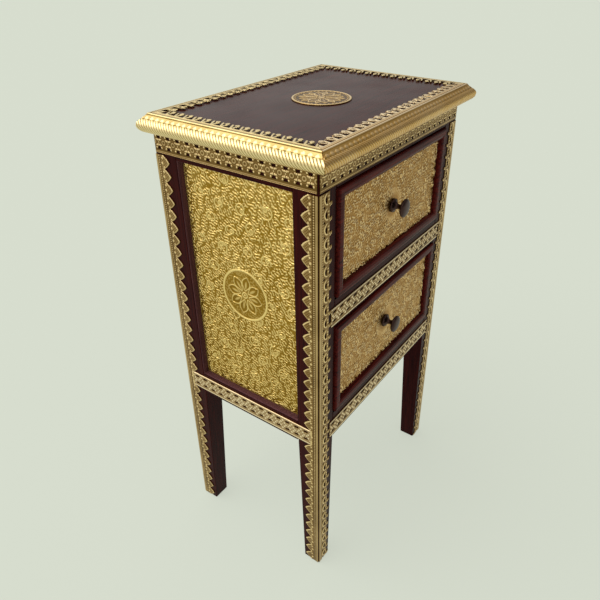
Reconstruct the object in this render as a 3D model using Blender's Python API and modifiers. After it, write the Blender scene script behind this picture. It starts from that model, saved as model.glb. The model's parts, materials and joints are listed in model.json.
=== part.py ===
"""Narrow two-drawer bedside cabinet in dark polished wood, clad in embossed and pierced brass.

The carcass is framed: four tapered legs, mortised for tenoned rails and grooved for thin
panels, carry a moulded top. Two drawers with picture-frame fronts run on wooden runners.
Brass sheet sheathes the edge of the top, the legs, the rails, the panels and the drawer fronts.
Metres, +Z up, the drawers face -Y, and the origin is on the floor under the middle of the part.
"""

import math

import bmesh
import bpy
from mathutils import Matrix, Vector

# Clearances and sheet
GAP = 0.0003
SHEET = 0.001

# Carcass, measured over the wood
HEIGHT = 0.610
CARCASS_WIDTH = 0.320
CARCASS_DEPTH = 0.222
LEG = 0.031
LEG_FOOT = 0.024
FOOT_CHAMFER = 0.002
APRON_HEIGHT = 0.228

# Rails, their joints and the panels between them
TOP_RAIL = 0.0275
SIDE_TOP_RAIL = 0.0290
MIDDLE_RAIL = 0.036
LOWER_RAIL = 0.038
SIDE_LOWER_RAIL = 0.031
RAIL_THICKNESS = 0.022
TENON_LENGTH = 0.010
TENON_THICKNESS = 0.010
TENON_SHOULDER = 0.007
PANEL_THICKNESS = 0.008
PANEL_RECESS = 0.0091
BACK_PANEL_THICKNESS = 0.006
BACK_PANEL_RECESS = 0.004
GROOVE_DEPTH = 0.005
RUNNER_WIDTH = 0.014
RUNNER_HEIGHT = 0.012

# Moulded top
TOP_THICKNESS = 0.0195
TOP_OVERHANG_SIDE = 0.0153
TOP_OVERHANG_FRONT = 0.0173
TOP_OVERHANG_BACK = 0.0075
NOSING_RADIUS = 0.007
ARRIS_INSET = 0.010
PEARL_RADIUS = 0.0015
BORDER_WIDTH = 0.0185
MEDALLION_RADIUS = 0.036

# Brass bands on the rails
FRIEZE_HEIGHT = 0.026
BAND_HEIGHT = 0.0232
BAND_LIFT = 0.004
FRIEZE_PITCH = 0.015
BAND_PITCH = 0.0145
FRIEZE_HOLE = 0.0044
BAND_SLOT_LENGTH = 0.0052
BAND_SLOT_HEIGHT = 0.0018

# Brass strips on the legs
EDGE_MARGIN = 0.0012
STRIP_LIFT = 0.002
LEAF_PITCH = 0.016
LEAF_BASE = 0.0115
LEAF_REACH = 0.021
SCROLL_PITCH = 0.016
SCROLL_BASE = 0.0185
SCROLL_REACH = 0.0226
SCROLL_HOLE = 0.0036

# Drawers
DRAWER_GAP = 0.0015
DRAWER_BOARD = 0.016
DRAWER_RECESS = 0.0037
FRAME_WIDTH = 0.012
FRAME_HEIGHT = 0.0068
FRAME_ROUND = 0.0025
FRAME_LIP = 0.0045
DRAWER_SIDE = 0.010
DRAWER_HEADROOM = 0.022
DRAWER_REBATE = 0.008
DRAWER_BOTTOM = 0.004
DRAWER_BOTTOM_LIFT = 0.008
DRAWER_GROOVE = 0.004
DRAWER_BACK_CLEARANCE = 0.004

# Knobs
KNOB_BASE_RADIUS = 0.0089
KNOB_STEM_RADIUS = 0.0029
KNOB_HEAD_RADIUS = 0.0113
KNOB_LENGTH = 0.0186
KNOB_BORE_DEPTH = 0.008
SCREW_RADIUS = 0.0018
SCREW_HEAD_RADIUS = 0.0040
SCREW_HEAD_HEIGHT = 0.0024
KNOB_STEPS = 16

# Levels that the sizes above give
TOP_UNDERSIDE = HEIGHT - TOP_THICKNESS
FRAME_TOP = TOP_UNDERSIDE - GAP
TOP_RAIL_FOOT = FRAME_TOP - TOP_RAIL
SIDE_TOP_RAIL_FOOT = FRAME_TOP - SIDE_TOP_RAIL
LOWER_RAIL_TOP = APRON_HEIGHT + LOWER_RAIL
SIDE_RAIL_TOP = APRON_HEIGHT + SIDE_LOWER_RAIL
BAY_HEIGHT = (TOP_RAIL_FOOT - LOWER_RAIL_TOP - MIDDLE_RAIL) / 2
MIDDLE_RAIL_FOOT = LOWER_RAIL_TOP + BAY_HEIGHT
MIDDLE_RAIL_TOP = MIDDLE_RAIL_FOOT + MIDDLE_RAIL
FRIEZE_FOOT = FRAME_TOP - FRIEZE_HEIGHT
LOWER_BAND_FOOT = APRON_HEIGHT + BAND_LIFT
LOWER_BAND_TOP = LOWER_BAND_FOOT + BAND_HEIGHT

# Faces of the carcass, from its own middle
HALF_WIDTH = CARCASS_WIDTH / 2
HALF_DEPTH = CARCASS_DEPTH / 2
INNER_X = HALF_WIDTH - LEG
INNER_Y = HALF_DEPTH - LEG
BRASS = GAP + SHEET
TOP_HALF_X = HALF_WIDTH + TOP_OVERHANG_SIDE
TOP_FRONT = -HALF_DEPTH - TOP_OVERHANG_FRONT
TOP_BACK = HALF_DEPTH + TOP_OVERHANG_BACK
BACK_PANEL_FRONT = HALF_DEPTH - BACK_PANEL_RECESS - BACK_PANEL_THICKNESS
BOARD_FRONT = -HALF_DEPTH + DRAWER_RECESS
DRAWER_FACE = BOARD_FRONT - BRASS
KNOB_FRONT = DRAWER_FACE - GAP - KNOB_LENGTH
DRAWER_HALF_X = INNER_X - DRAWER_GAP
DRAWER_BACK = BACK_PANEL_FRONT - DRAWER_BACK_CLEARANCE
CENTRE_Y = -(min(TOP_FRONT, KNOB_FRONT) + TOP_BACK) / 2

# Finishes: base colour, roughness, metallic
MAHOGANY = ((0.045, 0.012, 0.010), 0.28, 0.0)
DRAWER_WOOD = ((0.30, 0.16, 0.08), 0.6, 0.0)
BRASS_FINISH = ((0.44, 0.27, 0.07), 0.32, 1.0)
BRONZE = ((0.045, 0.036, 0.030), 0.4, 1.0)
STEEL = ((0.45, 0.45, 0.46), 0.35, 1.0)

parts = bpy.data.collections.new("brass_clad_bedside_cabinet")
helpers = bpy.data.collections.new("cutters")


def prepare_scene():
    """Empty the scene and add the two collections."""
    for leftover in list(bpy.data.objects):
        bpy.data.objects.remove(leftover, do_unlink=True)
    bpy.context.scene.collection.children.link(parts)
    bpy.context.scene.collection.children.link(helpers)


def add_empty(name, location, parent=None):
    """Add a carrier that pieces are parented to."""
    empty = bpy.data.objects.new(name, None)
    parts.objects.link(empty)
    empty.parent = parent
    empty.location = location
    return empty


def paint(piece, finish):
    """Give a piece a material of its own."""
    colour, roughness, metallic = finish
    material = bpy.data.materials.new(piece.name + "_finish")
    material.use_nodes = True
    shader = material.node_tree.nodes["Principled BSDF"]
    shader.inputs["Base Color"].default_value = (*colour, 1.0)
    shader.inputs["Roughness"].default_value = roughness
    shader.inputs["Metallic"].default_value = metallic
    material.diffuse_color = (*colour, 1.0)
    piece.data.materials.append(material)


def place(piece, centre, carrier):
    """Parent a piece and set it by a point given from the carcass's middle."""
    offset = carrier.location if carrier.parent else Vector()
    piece.parent = carrier
    piece.location = Vector(centre) - offset


def add_piece(name, mesh, centre, carrier, finish):
    """Make a named sub-part from a mesh that is centred on the given point."""
    piece = bpy.data.objects.new(name, mesh)
    parts.objects.link(piece)
    place(piece, centre, carrier)
    paint(piece, finish)
    return piece


def box_mesh(name, boxes, centre):
    """One mesh of the given boxes, each a low and a high corner, about a centre."""
    shape = bmesh.new()
    for low, high in boxes:
        middle = (Vector(low) + Vector(high)) / 2 - Vector(centre)
        size = Vector(high) - Vector(low)
        fit = Matrix.Translation(middle) @ Matrix.Diagonal((*size, 1.0))
        bmesh.ops.create_cube(shape, size=1.0, matrix=fit)
    mesh = bpy.data.meshes.new(name)
    shape.to_mesh(mesh)
    shape.free()
    return mesh


def add_block(name, low, high, carrier, finish):
    """A plain board between two corners."""
    centre = (Vector(low) + Vector(high)) / 2
    return add_piece(name, box_mesh(name, [(low, high)], centre), centre, carrier, finish)


def add_helper(name, mesh, centre, carrier):
    """A cutter or a joining piece, which is not a part."""
    helper = bpy.data.objects.new(name, mesh)
    helpers.objects.link(helper)
    place(helper, centre, carrier)
    helper.hide_render = True
    helper.display_type = "WIRE"
    return helper


def combine(piece, helper, operation):
    """Add a Boolean of the helper to the piece."""
    boolean = piece.modifiers.new(helper.name, "BOOLEAN")
    boolean.operation = operation
    boolean.object = helper


def cut_boxes(piece, boxes, carrier):
    """Cut box-shaped mortises, grooves or rebates out of a piece."""
    for number, box in enumerate(boxes):
        name = f"{piece.name}_cut_{number}"
        centre = (box[0] + box[1]) / 2
        cutter = add_helper(name, box_mesh(name, [box], centre), centre, carrier)
        combine(piece, cutter, "DIFFERENCE")


def grown(box, clearance=GAP):
    """A box grown by a clearance on every side."""
    low, high = box
    step = Vector((clearance,) * 3)
    return Vector(low) - step, Vector(high) + step


def arc(centre, radius, start, end, count):
    """Points along an arc, angles in degrees."""
    points = []
    for step in range(count + 1):
        angle = math.radians(start + (end - start) * step / count)
        points.append((centre[0] + radius * math.cos(angle), centre[1] + radius * math.sin(angle)))
    return points


def outline_mesh(name, loops, thickness):
    """A flat outline with its holes, extruded about its own plane."""
    curve = bpy.data.curves.new(name, "CURVE")
    curve.dimensions = "2D"
    curve.fill_mode = "BOTH"
    curve.extrude = thickness / 2
    for loop in loops:
        spline = curve.splines.new("POLY")
        spline.points.add(len(loop) - 1)
        spline.use_cyclic_u = True
        for point, (across, up) in zip(spline.points, loop):
            point.co = (across, up, 0.0, 1.0)
    drawn = bpy.data.objects.new(name, curve)
    helpers.objects.link(drawn)
    bpy.context.view_layer.update()
    evaluated = drawn.evaluated_get(bpy.context.evaluated_depsgraph_get())
    mesh = bpy.data.meshes.new_from_object(evaluated)
    bpy.data.objects.remove(drawn, do_unlink=True)
    weld(mesh)
    return mesh


def weld(mesh):
    """Join loose caps and make all faces point out."""
    shape = bmesh.new()
    shape.from_mesh(mesh)
    bmesh.ops.remove_doubles(shape, verts=shape.verts, dist=1e-6)
    bmesh.ops.recalc_face_normals(shape, faces=shape.faces)
    shape.to_mesh(mesh)
    shape.free()


def mitred_ring(name, profile, half_x, half_y, closed):
    """Carry a profile of (inset, height) points round a rectangle with mitred corners."""
    shape = bmesh.new()
    least = min(half_x, half_y)
    verts = [shape.verts.new((least - inset, least - inset, height)) for inset, height in profile]
    edges = [shape.edges.new(pair) for pair in zip(verts, verts[1:])]
    if closed:
        edges.append(shape.edges.new((verts[-1], verts[0])))
    bmesh.ops.spin(shape, geom=verts + edges, cent=(0, 0, 0), axis=(0, 0, 1),
                   angle=2 * math.pi, steps=4)
    bmesh.ops.remove_doubles(shape, verts=shape.verts, dist=1e-6)
    for vert in shape.verts:
        vert.co.x += math.copysign(half_x - least, vert.co.x)
        vert.co.y += math.copysign(half_y - least, vert.co.y)
    bmesh.ops.holes_fill(shape, edges=shape.edges, sides=4)
    bmesh.ops.recalc_face_normals(shape, faces=shape.faces)
    mesh = bpy.data.meshes.new(name)
    shape.to_mesh(mesh)
    shape.free()
    return mesh


def turned_piece(name, profile, steps, centre, carrier, finish):
    """A turned piece along -Y from a profile of (radius, height) points, top to bottom."""
    mesh = bpy.data.meshes.new(name)
    points = [(radius, 0.0, height) for radius, height in profile]
    mesh.from_pydata(points, [(i, i + 1) for i in range(len(points) - 1)], [])
    piece = add_piece(name, mesh, centre, carrier, finish)
    piece.rotation_euler.x = math.pi / 2
    screw = piece.modifiers.new("turning", "SCREW")
    screw.steps = steps
    screw.render_steps = steps
    screw.use_merge_vertices = True
    screw.merge_threshold = 1e-6
    screw.use_smooth_shade = True
    return piece


def face_matrix(face):
    """Turn an outline drawn as (across, up) onto a face of the carcass.

    The outline's own thickness lies along the face's normal, and across runs along +X on the
    front and along +Y on the sides.
    """
    if face == "front":
        return Matrix(((1, 0, 0, 0), (0, 0, 1, 0), (0, 1, 0, 0), (0, 0, 0, 1)))
    return Matrix(((0, 0, 1, 0), (1, 0, 0, 0), (0, 1, 0, 0), (0, 0, 0, 1)))


def add_sheet(name, loops, face, depth, carrier):
    """Brass sheet of an outline, its middle plane at a depth along the face's normal axis."""
    mesh = outline_mesh(name, loops, SHEET)
    mesh.transform(face_matrix(face))
    weld(mesh)
    centre = (0, depth, 0) if face == "front" else (depth, 0, 0)
    return add_piece(name, mesh, centre, carrier, BRASS_FINISH)


def rectangle(left, foot, right, top):
    """Corners of a rectangle."""
    return [(left, foot), (right, foot), (right, top), (left, top)]


def tenon_box(low, high, run):
    """The bar through a rail whose two ends are its tenons; run is the axis it lies along."""
    low, high = Vector(low), Vector(high)
    thick = 1 - run
    trim = (high[thick] - low[thick] - TENON_THICKNESS) / 2
    low[thick] += trim
    high[thick] -= trim
    low.z += TENON_SHOULDER
    high.z -= TENON_SHOULDER
    low[run] -= TENON_LENGTH
    high[run] += TENON_LENGTH
    return low, high


def rail_boxes():
    """Every rail's corners and the axis it runs along, 0 for X and 1 for Y."""
    front = -HALF_DEPTH
    fronts = {
        "front_rail_top": (TOP_RAIL_FOOT, FRAME_TOP),
        "front_rail_middle": (MIDDLE_RAIL_FOOT, MIDDLE_RAIL_TOP),
        "front_rail_bottom": (APRON_HEIGHT, LOWER_RAIL_TOP),
    }
    backs = {
        "back_rail_top": (TOP_RAIL_FOOT, FRAME_TOP),
        "back_rail_bottom": (APRON_HEIGHT, LOWER_RAIL_TOP),
    }
    rails = {}
    reach_x = INNER_X - GAP
    reach_y = INNER_Y - GAP
    for name, (foot, top) in fronts.items():
        rails[name] = ((-reach_x, front, foot), (reach_x, front + RAIL_THICKNESS, top), 0)
    for name, (foot, top) in backs.items():
        rails[name] = ((-reach_x, HALF_DEPTH - RAIL_THICKNESS, foot), (reach_x, HALF_DEPTH, top), 0)
    for side, sign in (("left", -1), ("right", 1)):
        inner, outer = sorted((sign * (HALF_WIDTH - RAIL_THICKNESS), sign * HALF_WIDTH))
        rails["side_rail_top_" + side] = (
            (inner, -reach_y, SIDE_TOP_RAIL_FOOT), (outer, reach_y, FRAME_TOP), 1)
        rails["side_rail_bottom_" + side] = (
            (inner, -reach_y, APRON_HEIGHT), (outer, reach_y, SIDE_RAIL_TOP), 1)
    return rails


def panel_boxes():
    """The side panels and the back panel, with the edges that sit in their grooves."""
    inset = GROOVE_DEPTH - GAP
    panels = {}
    for side, sign in (("left", -1), ("right", 1)):
        face = HALF_WIDTH - PANEL_RECESS
        inner, outer = sorted((sign * (face - PANEL_THICKNESS), sign * face))
        panels["side_panel_" + side] = (
            (inner, -INNER_Y - inset, SIDE_RAIL_TOP - inset),
            (outer, INNER_Y + inset, SIDE_TOP_RAIL_FOOT + inset))
    panels["back_panel"] = (
        (-INNER_X - inset, BACK_PANEL_FRONT, LOWER_RAIL_TOP - inset),
        (INNER_X + inset, BACK_PANEL_FRONT + BACK_PANEL_THICKNESS, TOP_RAIL_FOOT + inset))
    return panels


def overlaps(first, second):
    """Whether two boxes share space."""
    return all(first[0][i] < second[1][i] and second[0][i] < first[1][i] for i in range(3))


def leg_mesh(name, across, end):
    """A square leg whose two inner faces taper below the lower rails."""
    low = Vector((min(across * HALF_WIDTH, across * INNER_X), min(end * HALF_DEPTH, end * INNER_Y), 0))
    centre = low + Vector((LEG / 2, LEG / 2, FRAME_TOP / 2))
    shape = bmesh.new()
    shape.from_mesh(box_mesh(name, [(low, low + Vector((LEG, LEG, FRAME_TOP)))], centre))
    level = Vector((0, 0, APRON_HEIGHT - FRAME_TOP / 2))
    geometry = shape.verts[:] + shape.edges[:] + shape.faces[:]
    bmesh.ops.bisect_plane(shape, geom=geometry, plane_co=level, plane_no=(0, 0, 1))
    for vert in shape.verts:
        if vert.co.z < level.z - LEG:
            vert.co.x = across * max(across * vert.co.x, LEG / 2 - LEG_FOOT)
            vert.co.y = end * max(end * vert.co.y, LEG / 2 - LEG_FOOT)
    foot_edges = [e for e in shape.edges if all(v.co.z < level.z - LEG for v in e.verts)]
    bmesh.ops.bevel(shape, geom=foot_edges, offset=FOOT_CHAMFER, segments=1, affect="EDGES")
    mesh = bpy.data.meshes.new(name)
    shape.to_mesh(mesh)
    shape.free()
    return mesh, centre


def build_carcass(carcass):
    """Legs, rails, panels and drawer runners."""
    rails = rail_boxes()
    panels = panel_boxes()
    for name, (low, high, run) in rails.items():
        rail = add_block(name, low, high, carcass, MAHOGANY)
        bar = tenon_box(low, high, run)
        middle = (bar[0] + bar[1]) / 2
        tenons = add_helper(name + "_tenons", box_mesh(name, [bar], middle), middle, carcass)
        combine(rail, tenons, "UNION")
        grooves = [grown(box) for box in panels.values() if overlaps(grown(box), (low, high))]
        if grooves:
            ends = Vector((0, 0, 0))
            ends[run] = TENON_LENGTH
            cut_boxes(rail, [(box[0] - ends, box[1] + ends) for box in grooves], carcass)
    for name, (low, high) in panels.items():
        add_block(name, low, high, carcass, MAHOGANY)
    housed = [grown(tenon_box(*rail)) for rail in rails.values()]
    housed += [grown(box) for box in panels.values()]
    for end_name, end in (("front", -1), ("back", 1)):
        for side, across in (("left", -1), ("right", 1)):
            name = f"leg_{end_name}_{side}"
            mesh, centre = leg_mesh(name, across, end)
            leg = add_piece(name, mesh, centre, carcass, MAHOGANY)
            half = Vector((LEG / 2, LEG / 2, FRAME_TOP / 2))
            space = (centre - half, centre + half)
            cut_boxes(leg, [box for box in housed if overlaps(box, space)], carcass)
    for level, top in (("lower", LOWER_RAIL_TOP), ("upper", MIDDLE_RAIL_TOP)):
        for side, across in (("left", -1), ("right", 1)):
            outer = across * (INNER_X - GAP)
            inner = across * (INNER_X - GAP - RUNNER_WIDTH)
            front = -HALF_DEPTH + RAIL_THICKNESS + GAP
            back = HALF_DEPTH - RAIL_THICKNESS - GAP
            add_block(f"runner_{level}_{side}", (min(inner, outer), front, top - RUNNER_HEIGHT),
                      (max(inner, outer), back, top), carcass, DRAWER_WOOD)


def nosing_profile(skin):
    """The top's moulded edge from its ridge to its underside, as (inset, height) points.

    It stands a skin's thickness inside the brass: a ridge, a hollow with a pearl bead, and a
    half-round nosing below. The bead is in the brass alone.
    """
    centre = (NOSING_RADIUS, TOP_UNDERSIDE + NOSING_RADIUS)
    bead = (NOSING_RADIUS + PEARL_RADIUS, centre[1] + NOSING_RADIUS + PEARL_RADIUS)
    points = [(ARRIS_INSET + skin, HEIGHT - skin), (ARRIS_INSET + skin, bead[1] - skin)]
    if not skin:
        points += arc(bead, PEARL_RADIUS, 90, 180, 2)
    points += arc(centre, NOSING_RADIUS - skin, 100, 270, 9)
    return points


def top_mesh_shift():
    """Half sizes and middle of the top's outer rectangle."""
    half_y = (TOP_BACK - TOP_FRONT) / 2
    middle = Vector((0, (TOP_BACK + TOP_FRONT) / 2, 0))
    return TOP_HALF_X, half_y, middle


def build_top(carcass):
    """The moulded board, its four mitred brass sheaths and the round medallion."""
    half_x, half_y, middle = top_mesh_shift()
    wood = nosing_profile(BRASS)
    flat = NOSING_RADIUS + SHEET
    profile = wood + [(flat, wood[-1][1]), (flat, TOP_UNDERSIDE)]
    mesh = mitred_ring("top_board", profile, half_x, half_y, closed=False)
    add_piece("top_board", mesh, middle, carcass, MAHOGANY)

    outer = [(ARRIS_INSET + BORDER_WIDTH, HEIGHT)] + nosing_profile(0.0)
    inner = [(ARRIS_INSET + BORDER_WIDTH, HEIGHT - SHEET)] + nosing_profile(SHEET)
    section = outer + inner[::-1]
    for name, turn in (("front", 0), ("right", 1), ("back", 2), ("left", 3)):
        across, run = (half_y, half_x) if turn % 2 == 0 else (half_x, half_y)
        piece_name = "top_edge_" + name
        mesh = outline_mesh(piece_name, [section], 2.0)
        for vert in mesh.vertices:
            inset, height, end = vert.co
            along = math.copysign(run - inset - GAP, end)
            vert.co = (along, inset - across, height)
        mesh.transform(Matrix.Rotation(turn * math.pi / 2, 4, "Z"))
        weld(mesh)
        add_piece(piece_name, mesh, middle, carcass, BRASS_FINISH)

    build_medallion(middle, carcass)


def build_medallion(middle, carcass):
    """The round boss in the middle of the top: a raised rim, a dished field and a low dome."""
    rim = SHEET / 4
    base = HEIGHT - SHEET
    profile = [(0.0, HEIGHT), (MEDALLION_RADIUS / 6, HEIGHT - rim)]
    profile += [(MEDALLION_RADIUS * 0.84, HEIGHT - 2 * rim), (MEDALLION_RADIUS * 0.9, HEIGHT)]
    profile += [(MEDALLION_RADIUS, HEIGHT - rim), (MEDALLION_RADIUS, base), (0.0, base)]
    medallion = turned_piece("top_medallion", profile, 2 * KNOB_STEPS, middle, carcass, BRASS_FINISH)
    medallion.rotation_euler.x = 0


def spaced(start, end, pitch):
    """Middles of the whole repeats that fill a length, and the repeat's own length."""
    count = max(1, round((end - start) / pitch))
    step = (end - start) / count
    return [start + (i + 0.5) * step for i in range(count)], step


def frieze_loops(left, right, foot, top):
    """The band under the top: two rows of pierced holes between touching rosettes."""
    loops = [rectangle(left, foot, right, top)]
    half = FRIEZE_HOLE / 2
    height = top - foot
    for middle in spaced(left, right, FRIEZE_PITCH)[0]:
        upper = top - height * 0.12
        lower = foot + height * 0.24
        loops.append([(middle - half, upper), (middle + half, upper), (middle, upper - FRIEZE_HOLE)])
        loops.append([(middle - half, lower), (middle - half / 2, lower + half),
                      (middle + half / 2, lower + half), (middle + half, lower)])
    return loops


def band_loops(left, right, foot, top):
    """A narrow band: two rows of short slots."""
    loops = [rectangle(left, foot, right, top)]
    height = top - foot
    for middle in spaced(left, right, BAND_PITCH)[0]:
        for share in (0.3, 0.7):
            low = foot + height * share - BAND_SLOT_HEIGHT / 2
            loops.append(rectangle(middle - BAND_SLOT_LENGTH / 2, low,
                                   middle + BAND_SLOT_LENGTH / 2, low + BAND_SLOT_HEIGHT))
    return loops


def build_bands(carcass):
    """Pierced brass bands across the rails, over the legs at the top."""
    front_plane = -HALF_DEPTH - GAP - SHEET / 2
    reach = HALF_WIDTH - EDGE_MARGIN
    loops = frieze_loops(-reach, reach, FRIEZE_FOOT, FRAME_TOP)
    add_sheet("front_band_top", loops, "front", front_plane, carcass)
    reach = HALF_WIDTH - SCROLL_REACH - GAP
    for name, foot in (("middle", MIDDLE_RAIL_FOOT + BAND_LIFT), ("bottom", LOWER_BAND_FOOT)):
        loops = band_loops(-reach, reach, foot, foot + BAND_HEIGHT)
        add_sheet("front_band_" + name, loops, "front", front_plane, carcass)
    for side, across in (("left", -1), ("right", 1)):
        plane = across * (HALF_WIDTH + GAP + SHEET / 2)
        reach = HALF_DEPTH - EDGE_MARGIN
        loops = frieze_loops(-reach, reach, FRIEZE_FOOT, FRAME_TOP)
        add_sheet("side_band_top_" + side, loops, "side", plane, carcass)
        reach = HALF_DEPTH - LEAF_BASE - GAP
        loops = band_loops(-reach, reach, LOWER_BAND_FOOT, LOWER_BAND_TOP)
        add_sheet("side_band_bottom_" + side, loops, "side", plane, carcass)


def lobed_edge(foot, top, pitch, base, reach, fullness):
    """Inner edge of a strip, from its foot to its top: a row of leaves or curls."""
    points = []
    middles, step = spaced(foot, top, pitch)
    for middle in middles:
        shoulder = base + (reach - base) * fullness
        points += [(base, middle - step / 2), (shoulder, middle - step * 0.26)]
        points += [(reach, middle), (shoulder, middle + step * 0.26)]
    points.append((base, top))
    return points


def leaf_loops():
    """Strip of pointed leaves on a leg's side face, plain where the lower band meets it."""
    foot, top = STRIP_LIFT, FRIEZE_FOOT - GAP
    edge = lobed_edge(foot, LOWER_BAND_FOOT - GAP, LEAF_PITCH, LEAF_BASE, LEAF_REACH, 0.62)
    edge += lobed_edge(LOWER_BAND_TOP + GAP, top, LEAF_PITCH, LEAF_BASE, LEAF_REACH, 0.62)
    return [[(EDGE_MARGIN, top), (EDGE_MARGIN, foot)] + edge]


def scroll_loops():
    """Strip of running scrolls on a leg's front face, pierced at each curl."""
    foot, top = STRIP_LIFT, FRIEZE_FOOT - GAP
    edge = lobed_edge(foot, top, SCROLL_PITCH, SCROLL_BASE, SCROLL_REACH, 0.85)
    loops = [[(EDGE_MARGIN, top), (EDGE_MARGIN, foot)] + edge]
    middle_across = (EDGE_MARGIN + SCROLL_REACH) / 2
    half = SCROLL_HOLE / 2
    for middle in spaced(foot, top, SCROLL_PITCH)[0]:
        loops.append([(middle_across - half, middle - half), (middle_across, middle - SCROLL_HOLE),
                      (middle_across + half, middle + half), (middle_across, middle + SCROLL_HOLE)])
    return loops


def mirrored(loops, edge, sign):
    """Lay an outline drawn inwards from a corner out from an edge at +edge or -edge."""
    return [[(sign * (edge - across), up) for across, up in loop] for loop in loops]


def build_leg_strips(carcass):
    """Leaf strips on the legs' side faces and scroll strips on their front faces."""
    for side, across in (("left", -1), ("right", 1)):
        plane = across * (HALF_WIDTH + GAP + SHEET / 2)
        for end_name, end in (("front", -1), ("back", 1)):
            loops = mirrored(leaf_loops(), HALF_DEPTH, end)
            add_sheet(f"leaf_strip_{end_name}_{side}", loops, "side", plane, carcass)
        loops = mirrored(scroll_loops(), HALF_WIDTH, across)
        front_plane = -HALF_DEPTH - GAP - SHEET / 2
        add_sheet(f"scroll_strip_{side}", loops, "front", front_plane, carcass)


def build_side_sheets(carcass):
    """The embossed brass sheets that line the two side panels."""
    for side, across in (("left", -1), ("right", 1)):
        plane = across * (HALF_WIDTH - PANEL_RECESS + GAP + SHEET / 2)
        reach = INNER_Y - GAP
        loops = [rectangle(-reach, SIDE_RAIL_TOP + GAP, reach, SIDE_TOP_RAIL_FOOT - GAP)]
        add_sheet("side_sheet_" + side, loops, "side", plane, carcass)


def frame_profile():
    """Section of the drawer's frame: (inset, height) from its outer edge and its seat."""
    crest = FRAME_HEIGHT - FRAME_ROUND
    points = [(0.0, 0.0)]
    points += arc((FRAME_ROUND, crest), FRAME_ROUND, 180, 90, 3)
    points += [(FRAME_WIDTH * 0.62, FRAME_HEIGHT), (FRAME_WIDTH * 0.86, FRAME_HEIGHT * 0.88)]
    points += [(FRAME_WIDTH, FRAME_LIP), (FRAME_WIDTH, 0.0)]
    return points


def knob_profile():
    """Half section of a knob, from the front of its head to the end of its blind bore."""
    bore = SCREW_RADIUS + GAP
    lip = KNOB_LENGTH * 0.72
    points = [(0.0, KNOB_LENGTH), (KNOB_HEAD_RADIUS * 0.6, KNOB_LENGTH * 0.97)]
    points += [(KNOB_HEAD_RADIUS * 0.93, KNOB_LENGTH * 0.89), (KNOB_HEAD_RADIUS, KNOB_LENGTH * 0.81)]
    points += [(KNOB_HEAD_RADIUS * 0.9, lip), (KNOB_STEM_RADIUS * 1.5, KNOB_LENGTH * 0.62)]
    points += [(KNOB_STEM_RADIUS, KNOB_LENGTH * 0.5), (KNOB_STEM_RADIUS, KNOB_LENGTH * 0.3)]
    points += [(KNOB_BASE_RADIUS * 0.6, KNOB_LENGTH * 0.15), (KNOB_BASE_RADIUS, KNOB_LENGTH * 0.07)]
    points += [(KNOB_BASE_RADIUS, 0.0), (bore, 0.0), (bore, KNOB_BORE_DEPTH), (0.0, KNOB_BORE_DEPTH)]
    return points


def add_round_cut(piece, name, radius, centre, length, carrier):
    """Bore a round hole along Y through a piece."""
    shape = bmesh.new()
    bmesh.ops.create_cone(shape, cap_ends=True, segments=KNOB_STEPS, radius1=radius, radius2=radius,
                          depth=length, matrix=Matrix.Rotation(math.pi / 2, 4, "X"))
    mesh = bpy.data.meshes.new(name)
    shape.to_mesh(mesh)
    shape.free()
    combine(piece, add_helper(name, mesh, centre, carrier), "DIFFERENCE")


def build_knob(level, middle_z, drawer, board, sheet):
    """A turned knob on the drawer front and the screw that holds it from inside."""
    seat = Vector((0, DRAWER_FACE - GAP, middle_z))
    knob = turned_piece(f"knob_{level}", knob_profile(), KNOB_STEPS, seat, drawer, BRONZE)
    knob.data.shade_smooth()
    clear = SCREW_RADIUS + GAP
    for piece in (board, sheet):
        add_round_cut(piece, piece.name + "_bore", clear, (0, BOARD_FRONT, middle_z),
                      3 * DRAWER_BOARD, drawer)
    head_seat = BOARD_FRONT + DRAWER_BOARD + GAP
    tip = head_seat - DRAWER_FACE + KNOB_BORE_DEPTH
    profile = [(0.0, tip), (SCREW_RADIUS, tip - GAP), (SCREW_RADIUS, 0.0), (SCREW_HEAD_RADIUS, 0.0)]
    profile += [(SCREW_HEAD_RADIUS, -SCREW_HEAD_HEIGHT / 2), (SCREW_HEAD_RADIUS / 2, -SCREW_HEAD_HEIGHT)]
    profile += [(0.0, -SCREW_HEAD_HEIGHT)]
    screw = turned_piece(f"knob_screw_{level}", profile, KNOB_STEPS, (0, head_seat, middle_z),
                         drawer, STEEL)
    screw.data.shade_smooth()


def build_drawer_front(level, foot, top, drawer):
    """Board, mitred frame and brass sheet of one drawer front."""
    middle_z = (foot + top) / 2
    half_z = (top - foot) / 2
    board = add_block(f"drawer_front_{level}", (-DRAWER_HALF_X, BOARD_FRONT, foot),
                      (DRAWER_HALF_X, BOARD_FRONT + DRAWER_BOARD, top), drawer, MAHOGANY)
    mesh = mitred_ring("frame", frame_profile(), DRAWER_HALF_X, half_z, closed=True)
    mesh.transform(Matrix.Rotation(math.pi / 2, 4, "X"))
    seat = (0, BOARD_FRONT - GAP, middle_z)
    add_piece(f"drawer_frame_{level}", mesh, seat, drawer, MAHOGANY)
    inner = FRAME_WIDTH + GAP
    loops = [rectangle(-DRAWER_HALF_X + inner, foot + inner, DRAWER_HALF_X - inner, top - inner)]
    sheet = add_sheet(f"drawer_sheet_{level}", loops, "front", BOARD_FRONT - GAP - SHEET / 2, drawer)
    return board, sheet


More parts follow.
